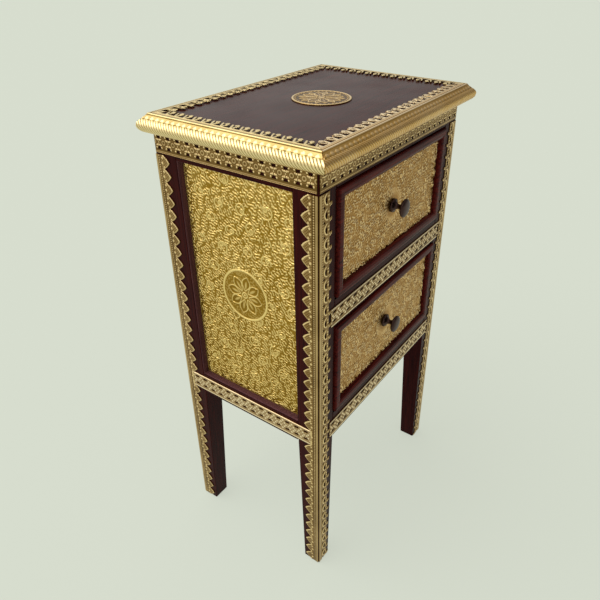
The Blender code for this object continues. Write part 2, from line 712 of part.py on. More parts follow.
def build_drawer(level, bay_foot, carcass):
    """One drawer: front, sides, back, bottom, knob and screw, on its own carrier."""
    foot = bay_foot + DRAWER_GAP
    top = bay_foot + BAY_HEIGHT - DRAWER_GAP
    drawer = add_empty(f"drawer_{level}", (0, BOARD_FRONT, foot), carcass)
    board, sheet = build_drawer_front(level, foot, top, drawer)

    rest = bay_foot + GAP
    rim = bay_foot + BAY_HEIGHT - DRAWER_HEADROOM
    board_back = BOARD_FRONT + DRAWER_BOARD
    side_front = board_back - DRAWER_REBATE + GAP
    inner_x = DRAWER_HALF_X - DRAWER_SIDE
    bottom_foot = rest + DRAWER_BOTTOM_LIFT
    bottom_top = bottom_foot + DRAWER_BOTTOM
    tongue = DRAWER_GROOVE - GAP
    bottom = ((-inner_x - tongue, board_back - tongue, bottom_foot),
              (inner_x + tongue, DRAWER_BACK, bottom_top))
    add_block(f"drawer_bottom_{level}", *bottom, drawer, DRAWER_WOOD)
    groove = grown(bottom)
    through = (groove[0], groove[1] + Vector((0, DRAWER_SIDE, 0)))
    rebates = [groove]
    for side, across in (("left", -1), ("right", 1)):
        inner, outer = sorted((across * inner_x, across * DRAWER_HALF_X))
        low, high = (inner, side_front, rest), (outer, DRAWER_BACK, rim)
        piece = add_block(f"drawer_side_{level}_{side}", low, high, drawer, DRAWER_WOOD)
        cut_boxes(piece, [through], drawer)
        rebate = grown((low, high))
        reach = Vector((0, 0, BAY_HEIGHT))
        rebates.append((rebate[0] - reach, rebate[1] + reach))
    cut_boxes(board, rebates, drawer)
    add_block(f"drawer_back_{level}", (-inner_x + GAP, DRAWER_BACK - DRAWER_SIDE, bottom_top + GAP),
              (inner_x - GAP, DRAWER_BACK, rim), drawer, DRAWER_WOOD)
    build_knob(level, (foot + top) / 2, drawer, board, sheet)


def main():
    """Build every piece of the cabinet."""
    prepare_scene()
    carcass = add_empty("carcass", (0, CENTRE_Y, 0))
    build_carcass(carcass)
    build_top(carcass)
    build_bands(carcass)
    build_leg_strips(carcass)
    build_side_sheets(carcass)
    build_drawer("lower", LOWER_RAIL_TOP, carcass)
    build_drawer("upper", MIDDLE_RAIL_TOP, carcass)
    bpy.context.view_layer.update()


main()
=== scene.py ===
"""Looks of a two-drawer bedside cabinet in mahogany, clad in embossed and pierced brass."""

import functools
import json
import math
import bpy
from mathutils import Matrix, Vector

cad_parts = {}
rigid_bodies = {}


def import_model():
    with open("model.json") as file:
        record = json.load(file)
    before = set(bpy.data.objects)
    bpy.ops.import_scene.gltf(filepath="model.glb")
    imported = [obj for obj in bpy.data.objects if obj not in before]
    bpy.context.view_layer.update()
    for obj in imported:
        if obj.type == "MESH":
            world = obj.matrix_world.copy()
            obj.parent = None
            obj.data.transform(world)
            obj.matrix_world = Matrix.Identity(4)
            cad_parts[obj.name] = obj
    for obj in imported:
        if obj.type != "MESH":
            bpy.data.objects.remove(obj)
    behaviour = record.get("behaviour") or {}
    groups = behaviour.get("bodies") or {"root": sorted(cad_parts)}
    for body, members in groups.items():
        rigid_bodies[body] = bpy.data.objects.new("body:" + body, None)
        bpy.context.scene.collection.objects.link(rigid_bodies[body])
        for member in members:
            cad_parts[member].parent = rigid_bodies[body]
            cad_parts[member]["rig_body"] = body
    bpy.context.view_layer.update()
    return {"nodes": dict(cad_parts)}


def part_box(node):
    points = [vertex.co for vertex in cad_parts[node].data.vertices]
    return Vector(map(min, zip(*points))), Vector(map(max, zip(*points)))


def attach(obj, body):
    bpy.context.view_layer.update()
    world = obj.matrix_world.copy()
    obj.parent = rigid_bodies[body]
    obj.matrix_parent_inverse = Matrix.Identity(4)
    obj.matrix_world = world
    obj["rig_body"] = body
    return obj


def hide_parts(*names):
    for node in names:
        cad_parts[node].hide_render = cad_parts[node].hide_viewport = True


bl_info = {
    "name": "Brass-Clad Bedside Cabinet",
    "version": (1, 0, 0),
    "blender": (4, 5, 0),
    "location": "View3D > Sidebar > Cabinet",
    "description": "Dresses the cabinet's joinery with polished wood and embossed brass",
    "category": "Add Mesh",
}

import bpy
import numpy as np
from bpy.props import FloatProperty, FloatVectorProperty, IntProperty, PointerProperty

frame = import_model()

MM = 0.001
FULL_TURN = 2 * math.pi
QUARTER_TURN = math.pi / 2
# turns about the upright axis that face a plate to the front and to either side
FRONT, LEFT, RIGHT = 0.0, -QUARTER_TURN, QUARTER_TURN
SIDES = (("left", LEFT), ("right", RIGHT))
LEVELS = ("lower", "upper")
# directions of the wood's grain, as axes
ACROSS, DEEP, UPRIGHT = 0, 1, 2
# the point attribute that tells the brass how rubbed it is, and so how bright: the bright crests and dark
# hollows that it gives are partly real patina and partly painted highlight and painted shade
POLISH_AND_SHADE = "polish"
# embossed brass where nothing is raised, and the height of the embossing on bands and strips
SHEET, RELIEF = 0.35 * MM, 1.0 * MM
# width over which a fillet's edge falls away
SOFT = 0.5 * MM
# edges sharper than this stay crisp
CRISP = math.radians(55)


def linear(code):
    """An sRGB hex colour as linear red, green and blue."""
    shares = [int(code[i:i + 2], 16) / 255 for i in (1, 3, 5)]
    return [c / 12.92 if c <= 0.04045 else ((c + 0.055) / 1.055) ** 2.4 for c in shares]


def length(name, description, millimetres):
    """A length that a user can change, given in millimetres."""
    return FloatProperty(name=name, description=description, default=millimetres * MM,
                         min=0.0, unit="LENGTH", precision=5)


def colour(name, description, code):
    """A colour that a user can change, given as an sRGB hex value."""
    return FloatVectorProperty(name=name, description=description, default=linear(code),
                               min=0.0, max=1.0, size=3, subtype="COLOR")


class CabinetSizes(bpy.types.PropertyGroup):
    """Sizes of the embossed patterns and of the eased edges."""

    mesh_step: length("Mesh step", "Spacing of the points on embossed brass", 0.55)
    sheet_step: length("Sheet step", "Spacing of the points on the side sheets", 0.72)
    sheath_step: length("Sheath step", "Spacing of the points on the top's edge", 0.75)
    frieze_pitch: length("Frieze pitch", "One repeat of the band under the top", 15.0)
    band_pitch: length("Band pitch", "One repeat of the narrow bands", 14.5)
    leaf_pitch: length("Leaf pitch", "One leaf on the legs' side faces", 16.0)
    scroll_pitch: length("Scroll pitch", "One scroll on the legs' front faces", 16.0)
    wave_pitch: length("Wave pitch", "One curl of the border on the top", 13.0)
    gadroon_pitch: length("Gadroon pitch", "One slanted reed of the nosing", 3.9)
    pearl_pitch: length("Pearl pitch", "One ringed pearl under the ridge of the top", 8.0)
    stroke_spacing: length("Stroke spacing", "Winding strokes on the side and drawer sheets", 3.8)
    ring_radius: length("Ring radius", "Ring of the flower on the side sheets", 33.0)
    bead_width: length("Bead width", "Rounded bead about the side sheets, over the sheet", 1.5)
    bead_rise: length("Bead rise", "Rounded bead about the side sheets, out from the sheet", 7.2)
    corner_lap: length("Corner lap", "Brass strips on the legs, out to the corner", 0.9)
    eased_edge: length("Eased edge", "Rounding of the wood's corners", 0.8)
    knob_steps: IntProperty(name="Knob steps", description="Sides of a knob", default=48, min=12)


class CabinetColours(bpy.types.PropertyGroup):
    """Colours of the finishes and of the stage."""

    # each brass goes from its hollow colour over its ground to its rubbed colour by the polish attribute: its
    # dark hollows are partly patina and partly painted shade, its bright crests partly painted highlight
    sheet_high: colour("Sheet, rubbed", "Golden brass of the side sheets on its crests", "#ffe191")
    sheet_ground: colour("Sheet, ground", "Golden brass of the side sheets between the strokes", "#a57e22")
    sheet_low: colour("Sheet, hollow", "Golden brass of the side sheets in its hollows", "#4a310c")
    drawer_high: colour("Drawer, rubbed", "Brass of the drawer sheets on its crests", "#ffdfa6")
    drawer_ground: colour("Drawer, ground", "Brass of the drawer sheets between the strokes", "#ba8b48")
    drawer_low: colour("Drawer, hollow", "Brass of the drawer sheets in its hollows", "#5f421d")
    trim_high: colour("Trim, rubbed", "Pale brass of friezes and strips on its crests", "#ffe0a4")
    trim_ground: colour("Trim, ground", "Pale brass of friezes and strips between the crests", "#8e6c3a")
    trim_low: colour("Trim, hollow", "Pale brass of friezes and strips in its hollows", "#2c1e08")
    # the bands' brass is a brighter copy of the trim's: partly painted highlight, standing for glints
    # brighter than the lamps give
    band_high: colour("Band, rubbed", "Pale brass of the narrow bands on its crests", "#ffe9bf")
    band_ground: colour("Band, ground", "Pale brass of the narrow bands between the crests", "#a07c4a")
    band_low: colour("Band, hollow", "Pale brass of the narrow bands in its hollows", "#2c1e08")
    # the nosing's brass is paler and brighter than the trim's: rubbed brighter on the top's edge, and partly
    # painted light for the brightly lit left edge
    nosing_high: colour("Nosing, rubbed", "Bright brass of the top's edge on its crests", "#f6dfa6")
    nosing_ground: colour("Nosing, ground", "Bright brass of the top's edge between the crests", "#b3985a")
    nosing_low: colour("Nosing, hollow", "Bright brass of the top's edge in its hollows", "#4a3714")
    # the front edge's brass, used with its polish lowered: a shaded copy of the nosing's brass, painted shade
    # for the front, which stands in less light than the other edges
    front_high: colour("Front edge, rubbed", "Warm brass of the front edge on its crests", "#ffe9c0")
    front_ground: colour("Front edge, ground", "Warm brass of the front edge between the crests", "#d4a552")
    front_low: colour("Front edge, hollow", "Warm brass of the front edge in its hollows", "#3c2810")
    wood_dark: colour("Wood, dark", "Dark grain of the mahogany", "#1c0607")
    wood_light: colour("Wood, light", "Red grain of the mahogany", "#42130d")
    wood_red: colour("Wood, red", "Red grain of the drawer fronts", "#69221a")
    # the beads' grain is a lighter plum than the carcass's mahogany, the same wood: painted light on the
    # reveal beside the side sheets
    bead_dark: colour("Bead, dark", "Dark grain of the beads", "#42282b")
    bead_light: colour("Bead, light", "Plum grain of the beads", "#603d3d")
    wood_sheen: colour("Wood, sheen", "Plum tint of the polish on the mahogany", "#ffc0dc")
    box_wood: colour("Drawer wood", "Bare wood of runners and drawer boxes", "#a8814f")
    bronze: colour("Knob", "Dark bronze of the knobs", "#4a3733")
    steel: colour("Screw", "Grey zinc of the knobs' screws", "#b9babd")
    backdrop: colour("Backdrop", "Floor and background", "#d5dbcd")
    daylight: colour("Daylight", "Light of the studio", "#fbfaf4")


def sizes():
    """The sizes in use."""
    return bpy.context.scene.cabinet_sizes


def colours():
    """The colours in use."""
    return bpy.context.scene.cabinet_colours


# Shapes that embossing is made of, on arrays of distances

def dome(distance, radius):
    """Round-topped rise, 1 in the middle and 0 from the radius on."""
    return np.sqrt(np.clip(1.0 - (distance / radius) ** 2, 0.0, 1.0))


def blend(value, low, high):
    """Smooth step from 0 at low to 1 at high."""
    share = np.clip((value - low) / (high - low), 0.0, 1.0)
    return share * share * (3.0 - 2.0 * share)


def highest(*rises):
    """The highest of several rises at each point."""
    return functools.reduce(np.maximum, rises)


def turned(x, y, angle):
    """Coordinates seen from axes turned by an angle."""
    return (x * math.cos(angle) + y * math.sin(angle), y * math.cos(angle) - x * math.sin(angle))


def repeats(value, start, end, pitch):
    """Place within whole repeats from start to end: distance from a repeat's middle, and its length."""
    count = max(1, round((end - start) / pitch))
    step = (end - start) / count
    return ((value - start) / step % 1.0 - 0.5) * step, step


def slot_shape(x, y, centre, angle, half_length, radius):
    """Signed distance from a slot with round ends, negative inside; its sizes are in millimetres."""
    along, aside = turned(x - centre[0] * MM, y - centre[1] * MM, angle)
    return np.hypot(np.maximum(np.abs(along) - (half_length - radius) * MM, 0.0), aside) - radius * MM


def beads(across, up, places):
    """Round beads on two coordinates, each given by its place and radius in millimetres."""
    return highest(*(dome(np.hypot(across - x * MM, up - y * MM), radius * MM) for x, y, radius in places))


def plate_edge(u, v, across, height):
    """Distance inside a rectangle."""
    return np.minimum(np.minimum(u, across - u), np.minimum(v, height - v))


def sink(crest, solid, width, share):
    """Let a crest fall by a share towards the cut edges, over a width."""
    return crest * (share * blend(solid, 0.0, width) + 1.0 - share)


def leaf_shape(x, y, span, half_width):
    """Embossed leaf along +x, a raised rim, a rib and a low crown, and the ground that it covers."""
    rim_radius, rib_radius, margin = 0.8 * MM, 0.6 * MM, 1.6 * MM
    share = np.clip(x / span, 0.0, 1.0)
    # broadest at two fifths of its length
    edge = half_width * np.sin(math.pi * share ** 0.75)
    inside = (x > 0) & (x < span)
    rim = dome(np.abs(y) - edge, rim_radius) * inside
    crown = np.clip(1.0 - (y / np.maximum(edge, 1e-6)) ** 2, 0.0, 1.0) * inside
    rib = dome(y, rib_radius) * (share > 0.1) * (share < 0.8)
    ground = blend(edge + margin - np.abs(y), 0.0, margin / 2) * (np.abs(x - span / 2) < 0.62 * span)
    return highest(rim, 0.25 * crown, 0.7 * rib), ground


def tendril_shape(x, y, reach, spin, start):
    """A spiral stem that opens from a small inner radius to its reach, and the ground that it covers."""
    stem_radius, margin, fade = 0.85 * MM, 1.8 * MM, 0.8 * MM
    far = np.hypot(x, y)
    angle = (spin * np.arctan2(y, x) - start) % FULL_TURN
    inner = 0.45 * reach
    near = np.abs(far - inner - (reach - inner) * angle / FULL_TURN)
    return dome(near, stem_radius), blend(margin - near, 0.0, fade) * (far < reach)


class Canvas:
    """Height map from 0 to 1 that motifs are pressed into."""

    # how far the spacing of ridges strays, as a share
    STRAY = 0.35

    def __init__(self, size, step, lean, spread, seed):
        self.x, self.y = (np.linspace(0.0, side, round(side / step) + 1) for side in size)
        self.draw = np.random.default_rng(seed)
        self.rise = self.winding_strokes(sizes().stroke_spacing, lean, spread)

    def ridges(self, spacing, lean, spread):
        """Even random ridges of one spacing, from -1 to 1, that wind about one direction."""
        shape = (len(self.y), len(self.x))
        tall = np.fft.fftfreq(shape[0], self.y[1])[:, None]
        wide = np.fft.fftfreq(shape[1], self.x[1])[None, :]
        along = np.cos(np.arctan2(tall, wide) - lean - QUARTER_TURN)
        off = (np.hypot(tall, wide) * spacing - 1.0) / self.STRAY
        keep = np.exp((along - 1.0) / spread ** 2 - off ** 2) * (along > 0)
        waves = np.fft.ifft2(np.fft.fft2(self.draw.standard_normal(shape)) * keep)
        return waves.real / np.abs(waves)

    def winding_strokes(self, spacing, lean, spread):
        """A ground of winding strokes, evenly spaced, that break off here and there."""
        breaks = self.ridges(3 * spacing, lean + QUARTER_TURN, 1.0)
        return blend(self.ridges(spacing, lean, spread), -0.05, 0.95) * blend(breaks, -1.0, -0.6)

    def press(self, centre, reach, motif):
        """Clear the ground under a motif drawn about a centre, and raise the map to it."""
        left, right = np.searchsorted(self.x, (centre[0] - reach, centre[0] + reach))
        low, high = np.searchsorted(self.y, (centre[1] - reach, centre[1] + reach))
        if left == right or low == high:
            return
        rise, ground = motif(*np.meshgrid(self.x[left:right] - centre[0], self.y[low:high] - centre[1]))
        patch = self.rise[low:high, left:right]
        patch *= 1.0 - ground
        np.maximum(patch, rise * (ground > 0), out=patch)

    def press_leaf(self, root, angle, span, half_width):
        """Press one leaf that grows from its root."""
        self.press(root, 1.2 * span, lambda x, y: leaf_shape(*turned(x, y, angle), span, half_width))

    def press_scrolls(self, pitch):
        """Strew the ground with thin scrolling stems, a leaf at the heart of each."""
        # staggered rows, so that neighbours are evenly far apart
        row_step = 0.87 * pitch
        for row in range(int(self.y[-1] / row_step) + 2):
            for column in range(int(self.x[-1] / pitch) + 2):
                centre = np.array(((column + 0.5 * (row % 2)) * pitch, row * row_step))
                centre += self.draw.uniform(-0.2, 0.2, 2) * pitch
                spin = 1.0 if (row + column) % 2 else -1.0
                start = self.draw.uniform(0.0, FULL_TURN)
                reach = self.draw.uniform(0.2, 0.27) * pitch
                self.press(centre, reach, lambda x, y: tendril_shape(x, y, reach, spin, start))
                self.press_leaf(centre, start, 0.22 * pitch, 0.07 * pitch)


# Building embossed plates

def read_points(mesh):
    """All the points of a mesh as rows of x, y, z."""
    points = np.empty(len(mesh.vertices) * 3)
    mesh.vertices.foreach_get("co", points)
    return points.reshape(-1, 3)


def write_points(mesh, points):
    """Set all the points of a mesh."""
    mesh.vertices.foreach_set("co", points.ravel())
    mesh.update()


def face_outwards():
    """Point the faces of the piece at hand outwards."""
    bpy.ops.object.mode_set(mode="EDIT")
    bpy.ops.mesh.select_all(action="SELECT")
    bpy.ops.mesh.normals_make_consistent(inside=False)
    bpy.ops.object.mode_set(mode="OBJECT")


def name_piece(name):
    """Name the primitive that was just added."""
    piece = bpy.context.object
    piece.name = piece.data.name = name
    return piece


def add_grid(name, columns, rows):
    """A flat unit grid, the start of an embossed piece."""
    bpy.ops.object.select_all(action="DESELECT")
    bpy.ops.mesh.primitive_grid_add(x_subdivisions=columns, y_subdivisions=rows, size=1.0)
    return name_piece(name)


def snap(u, v, outline, step):
    """Move points that lie close to an outline onto it, so its cut edge is smooth."""
    solid = outline(u, v)
    near = np.abs(solid) < 0.55 * step
    probe = 0.05 * step
    slope_u = (outline(u + probe, v) - solid) / probe
    slope_v = (outline(u, v + probe) - solid) / probe
    square = np.maximum(slope_u ** 2 + slope_v ** 2, 0.2)
    u = np.where(near, u - solid * slope_u / square, u)
    v = np.where(near, v - solid * slope_v / square, v)
    return u, v, np.where(near, 0.0, solid)


def remove_outside(piece, solid):
    """Delete the faces of a grid that lie outside an outline, given its signed distance."""
    mesh = piece.data
    corners = np.empty(len(mesh.loops), dtype=np.int32)
    mesh.loops.foreach_get("vertex_index", corners)
    outside = solid[corners.reshape(-1, 4)].mean(axis=1) <= 0.0
    mesh.polygons.foreach_set("select", outside)
    bpy.context.tool_settings.mesh_select_mode = (False, False, True)
    bpy.ops.object.mode_set(mode="EDIT")
    bpy.ops.mesh.delete(type="FACE")
    bpy.ops.object.mode_set(mode="OBJECT")


def close_back():
    """Carry the cut edges of the piece at hand down to its flat back and close it."""
    bpy.context.tool_settings.mesh_select_mode = (False, True, False)
    bpy.ops.object.mode_set(mode="EDIT")
    bpy.ops.mesh.select_all(action="SELECT")
    bpy.ops.mesh.region_to_loop()
    # any way down will do, as the edges are then flattened onto the back
    bpy.ops.mesh.extrude_edges_move(TRANSFORM_OT_translate={"value": (0.0, 0.0, -0.1 * MM)})
    bpy.ops.transform.resize(value=(1.0, 1.0, 0.0), center_override=(0.0, 0.0, 0.0))
    bpy.ops.mesh.fill(use_beauty=False)
    bpy.ops.object.mode_set(mode="OBJECT")
    face_outwards()


def store_polish_and_shade(mesh, polish):
    """Keep how rubbed each point is, which also carries painted highlight and painted shade, for the
    material.
    """
    attribute = mesh.attributes.new(POLISH_AND_SHADE, "FLOAT", "POINT")
    attribute.data.foreach_set("value", np.clip(polish, 0.0, 1.0).astype(np.float32))


def press_plate(name, size, step, relief, outline=None):
    """A plate about its own middle, face up, pressed to a relief and cut to an outline."""
    plate = add_grid(name, *(round(side / step) for side in size))
    points = read_points(plate.data)
    u, v = ((points[:, axis] + 0.5) * side for axis, side in enumerate(size))
    solid = None
    if outline:
        u, v, solid = snap(u, v, outline, step)
    rise, polish = relief(u, v)
    write_points(plate.data, np.column_stack((u - size[0] / 2, v - size[1] / 2, rise)))
    store_polish_and_shade(plate.data, polish)
    if outline:
        remove_outside(plate, solid)
    close_back()
    return plate


def plate_size(node, turn, lap=0.0):
    """Width across the face of a CAD plate, with a lap at one end, and its height."""
    low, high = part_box(node)
    size = high - low
    return (size.y if turn else size.x) + abs(lap), size.z


def emboss(name, node, turn, step, brass, relief, outline=None, lap=0.0):
    """Replace a flat CAD plate by an embossed one in its place, longer by a lap at one end of its width."""
    plate = press_plate(name, plate_size(node, turn, lap), step, relief, outline)
    low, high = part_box(node)
    middle = (low + high) / 2
    back = {FRONT: (middle.x + lap / 2, high.y), LEFT: (high.x, middle.y - lap / 2),
            RIGHT: (low.x, middle.y + lap / 2)}[turn]
    plate.location = (*back, middle.z)
    plate.rotation_euler = (QUARTER_TURN, 0.0, turn)
    finish_piece(plate, node, brass)


def paint(piece, material):
    """Give a piece one material."""
    piece.data.materials.clear()
    piece.data.materials.append(material)


def place_piece(piece, node, material):
    """Apply a piece's place, smooth and paint it, and put it on the body of a node."""
    bpy.ops.object.select_all(action="DESELECT")
    piece.select_set(True)
    bpy.context.view_layer.objects.active = piece
    bpy.ops.object.transform_apply(location=True, rotation=True, scale=True)
    bpy.ops.object.shade_smooth_by_angle(angle=CRISP)
    paint(piece, material)
    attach(piece, frame["nodes"][node]["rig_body"])


def finish_piece(piece, node, material):
    """Put a piece in the place of the node that it stands for."""
    place_piece(piece, node, material)
    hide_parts(node)


# Materials

def add_node(tree, kind, inputs=None, stops=(), **settings):
    """Add a node with its settings and stops of colour; an input is a value or another node's socket."""
    node = tree.nodes.new(kind)
    for key, value in settings.items():
        setattr(node, key, value)
    for key, value in (inputs or {}).items():
        if isinstance(value, bpy.types.NodeSocket):
            tree.links.new(value, node.inputs[key])
        else:
            node.inputs[key].default_value = value
    if stops:
        first, last = node.color_ramp.elements
        first.position, first.color = stops[0]
        last.position, last.color = stops[-1]
        for place, shade in stops[1:-1]:
            node.color_ramp.elements.new(place).color = shade
    return node


def start_material(name):
    """A named node material with its shader."""
    material = bpy.data.materials.new(name)
    material.use_nodes = True
    return material, material.node_tree, material.node_tree.nodes["Principled BSDF"]


def rgba(shade, factor=1.0):
    """A colour with full alpha, scaled in brightness."""
    return (*(min(1.0, c * factor) for c in shade), 1.0)


# roughness of each kind of brass on its crests, and how much rougher its hollows are
CREST_ROUGHNESS = {"sheet": 0.36, "drawer": 0.36, "trim": 0.24, "band": 0.24, "nosing": 0.3, "front": 0.3}
HOLLOW_ROUGHER = 0.14


def embossed_brass(piece, kind):
    """Embossed sheet brass: rubbed bright on its crests, brown with patina in its hollows, finely hammered;
    the bright crests and dark hollows are partly painted highlight and painted shade.
    """
    tarnish_spacing, hammer_spacing, hammer_depth = 35 * MM, 1.6 * MM, 0.25 * MM
    material, tree, shader = start_material("embossed_brass_" + piece)
    place = add_node(tree, "ShaderNodeTexCoord").outputs["Object"]
    polish = add_node(tree, "ShaderNodeAttribute", attribute_name=POLISH_AND_SHADE).outputs["Fac"]
    drift = add_node(tree, "ShaderNodeTexNoise",
                     {"Vector": place, "Scale": 1 / tarnish_spacing, "Detail": 3.0})
    level = add_node(tree, "ShaderNodeMath", {0: drift.outputs["Fac"], 1: 0.3, 2: polish},
                     operation="MULTIPLY_ADD")
    low, ground, high = (rgba(getattr(colours(), f"{kind}_{part}")) for part in ("low", "ground", "high"))
    # the ramp paints the hollows dark and the crests bright: patina and wear, partly standing for painted
    # shade and painted highlight
    ramp = add_node(tree, "ShaderNodeValToRGB", {"Fac": level.outputs[0]},
                    stops=((0.15, low), (0.45, ground), (1.0, high)))
    dull = add_node(tree, "ShaderNodeMapRange", {"Value": level.outputs[0], "From Min": 0.1, "From Max": 1.0,
                                                 "To Min": CREST_ROUGHNESS[kind] + HOLLOW_ROUGHER,
                                                 "To Max": CREST_ROUGHNESS[kind]})
    marks = add_node(tree, "ShaderNodeTexNoise",
                     {"Vector": place, "Scale": 1 / hammer_spacing, "Detail": 2.0})
    bump = add_node(tree, "ShaderNodeBump", {"Height": marks.outputs["Fac"], "Strength": 0.35,
                                             "Distance": hammer_depth})
    tree.links.new(ramp.outputs["Color"], shader.inputs["Base Color"])
    tree.links.new(dull.outputs["Result"], shader.inputs["Roughness"])
    tree.links.new(bump.outputs["Normal"], shader.inputs["Normal"])
    shader.inputs["Metallic"].default_value = 1.0
    return material


def french_polished_mahogany(piece, along, gloss_level=0.05, dark="wood_dark", light="wood_light"):
    """French-polished mahogany: close dark red grain along the board under a clear gloss."""
    # the wood's pores, a fifth of a millimetre wide, are too fine to show, so the grain is drawn coarser
    grain_width, grain_length, grain_depth, rub_spacing = 2.5 * MM, 50 * MM, 0.2 * MM, 60 * MM
    material, tree, shader = start_material("french_polished_mahogany_" + piece)
    place = add_node(tree, "ShaderNodeTexCoord").outputs["Object"]
    scale = [1 / grain_width] * 3
    scale[along] = 1 / grain_length
    stretched = add_node(tree, "ShaderNodeMapping", {"Vector": place, "Scale": scale}).outputs["Vector"]
    grain = add_node(tree, "ShaderNodeTexNoise", {"Vector": stretched, "Scale": 1.0, "Detail": 5.0,
                                                  "Roughness": 0.62})
    dark, light = (rgba(getattr(colours(), shade)) for shade in (dark, light))
    ramp = add_node(tree, "ShaderNodeValToRGB", {"Fac": grain.outputs["Fac"]},
                    stops=((0.3, dark), (0.75, light)))
    # the polish is rubbed unevenly
    rub = add_node(tree, "ShaderNodeTexNoise", {"Vector": place, "Scale": 1 / rub_spacing, "Detail": 2.0})
    gloss = add_node(tree, "ShaderNodeMapRange", {"Value": rub.outputs["Fac"], "From Min": 0.3,
                                                  "From Max": 0.7, "To Min": 0.2, "To Max": 0.3})
    bump = add_node(tree, "ShaderNodeBump", {"Height": grain.outputs["Fac"], "Strength": 0.12,
                                             "Distance": grain_depth})
    tree.links.new(ramp.outputs["Color"], shader.inputs["Base Color"])
    tree.links.new(gloss.outputs["Result"], shader.inputs["Roughness"])
    tree.links.new(bump.outputs["Normal"], shader.inputs["Normal"])
    shader.inputs["Specular IOR Level"].default_value = gloss_level
    shader.inputs["Specular Tint"].default_value = rgba(colours().wood_sheen)
    return material


def planed_softwood():
    """Planed softwood, never polished: pale bands of growth rings, no gloss."""
    ring_spacing, ring_length = 5 * MM, 90 * MM
    material, tree, shader = start_material("planed_softwood")
    place = add_node(tree, "ShaderNodeTexCoord").outputs["Object"]
    # drawn out along the drawer's depth
    scale = (1 / ring_spacing, 1 / ring_length, 1 / ring_spacing)
    stretched = add_node(tree, "ShaderNodeMapping", {"Vector": place, "Scale": scale}).outputs["Vector"]
    rings = add_node(tree, "ShaderNodeTexNoise", {"Vector": stretched, "Scale": 1.0, "Detail": 4.0})
    ramp = add_node(tree, "ShaderNodeValToRGB", {"Fac": rings.outputs["Fac"]},
                    stops=((0.3, rgba(colours().box_wood, 0.55)), (0.7, rgba(colours().box_wood))))
    tree.links.new(ramp.outputs["Color"], shader.inputs["Base Color"])
    shader.inputs["Roughness"].default_value = 0.68
    return material


def patinated_bronze():
    """Cast bronze under a dark brown patina: clouded, with a soft shine."""
    cloud_spacing = 4 * MM
    material, tree, shader = start_material("patinated_bronze")
    place = add_node(tree, "ShaderNodeTexCoord").outputs["Object"]
    clouds = add_node(tree, "ShaderNodeTexNoise",
                      {"Vector": place, "Scale": 1 / cloud_spacing, "Detail": 4.0})
    ramp = add_node(tree, "ShaderNodeValToRGB", {"Fac": clouds.outputs["Fac"]},
                    stops=((0.0, rgba(colours().bronze, 0.35)), (1.0, rgba(colours().bronze, 1.5))))
    tree.links.new(ramp.outputs["Color"], shader.inputs["Base Color"])
    shader.inputs["Metallic"].default_value = 1.0
    shader.inputs["Roughness"].default_value = 0.36
    return material


def zinc_plated_steel():
    """Zinc-plated steel screw: grey, lightly brushed."""
    # brush marks a tenth of a millimetre apart are too fine to show, so they are drawn coarser
    brush_spacing = 0.5 * MM
    material, tree, shader = start_material("zinc_plated_steel")
    place = add_node(tree, "ShaderNodeTexCoord").outputs["Object"]
    brush = add_node(tree, "ShaderNodeTexNoise", {"Vector": place, "Scale": 1 / brush_spacing, "Detail": 2.0})
    dull = add_node(tree, "ShaderNodeMapRange", {"Value": brush.outputs["Fac"], "To Min": 0.3, "To Max": 0.5})
    tree.links.new(dull.outputs["Result"], shader.inputs["Roughness"])
    shader.inputs["Base Color"].default_value = rgba(colours().steel)
    shader.inputs["Metallic"].default_value = 1.0
    return material


# Operators, one for each group of pieces

class CABINET_OT_woodwork(bpy.types.Operator):
    """Polish the carcass and give the drawer boxes their bare wood."""

    bl_idname = "cabinet.woodwork"
    bl_label = "Woodwork"

    TOP_GLOSS, DRAWER_GLOSS = 0.105, 0.06
    # points of a CAD mesh that are closer than this are one
    WELD = 0.01 * MM

    def execute(self, context):
        grain_across = french_polished_mahogany("across", ACROSS)
        grain_deep = french_polished_mahogany("deep", DEEP)
        grain_upright = french_polished_mahogany("upright", UPRIGHT)
        top = french_polished_mahogany("top", ACROSS, self.TOP_GLOSS)
        drawer = french_polished_mahogany("drawer", ACROSS, self.DRAWER_GLOSS, light="wood_red")
        # how the names of the boards start, and their wood
        boards = (
            (("runner", "drawer_side", "drawer_back", "drawer_bottom"), planed_softwood()),
            (("leg", "side_panel", "back_panel"), grain_upright),
            ("side_rail", grain_deep),
            (("front_rail", "back_rail"), grain_across),
            ("top_board", top),
            (("drawer_front", "drawer_frame"), drawer),
        )
        steel = zinc_plated_steel()
        for name, node in frame["nodes"].items():
            if name.startswith("knob_screw"):
                paint(node, steel)
            for start, wood in boards:
                if name.startswith(start):
                    paint(node, wood)
                    self.ease(node)
        return {"FINISHED"}

    def ease(self, node):
        """Take the sharpness off a board's corners."""
        weld = node.modifiers.new("joined", "WELD")
        weld.merge_threshold = self.WELD
        bevel = node.modifiers.new("eased", "BEVEL")
        bevel.width = sizes().eased_edge
        bevel.segments = 2
        bevel.limit_method = "ANGLE"
        bevel.angle_limit = math.radians(50)
        bevel.harden_normals = True


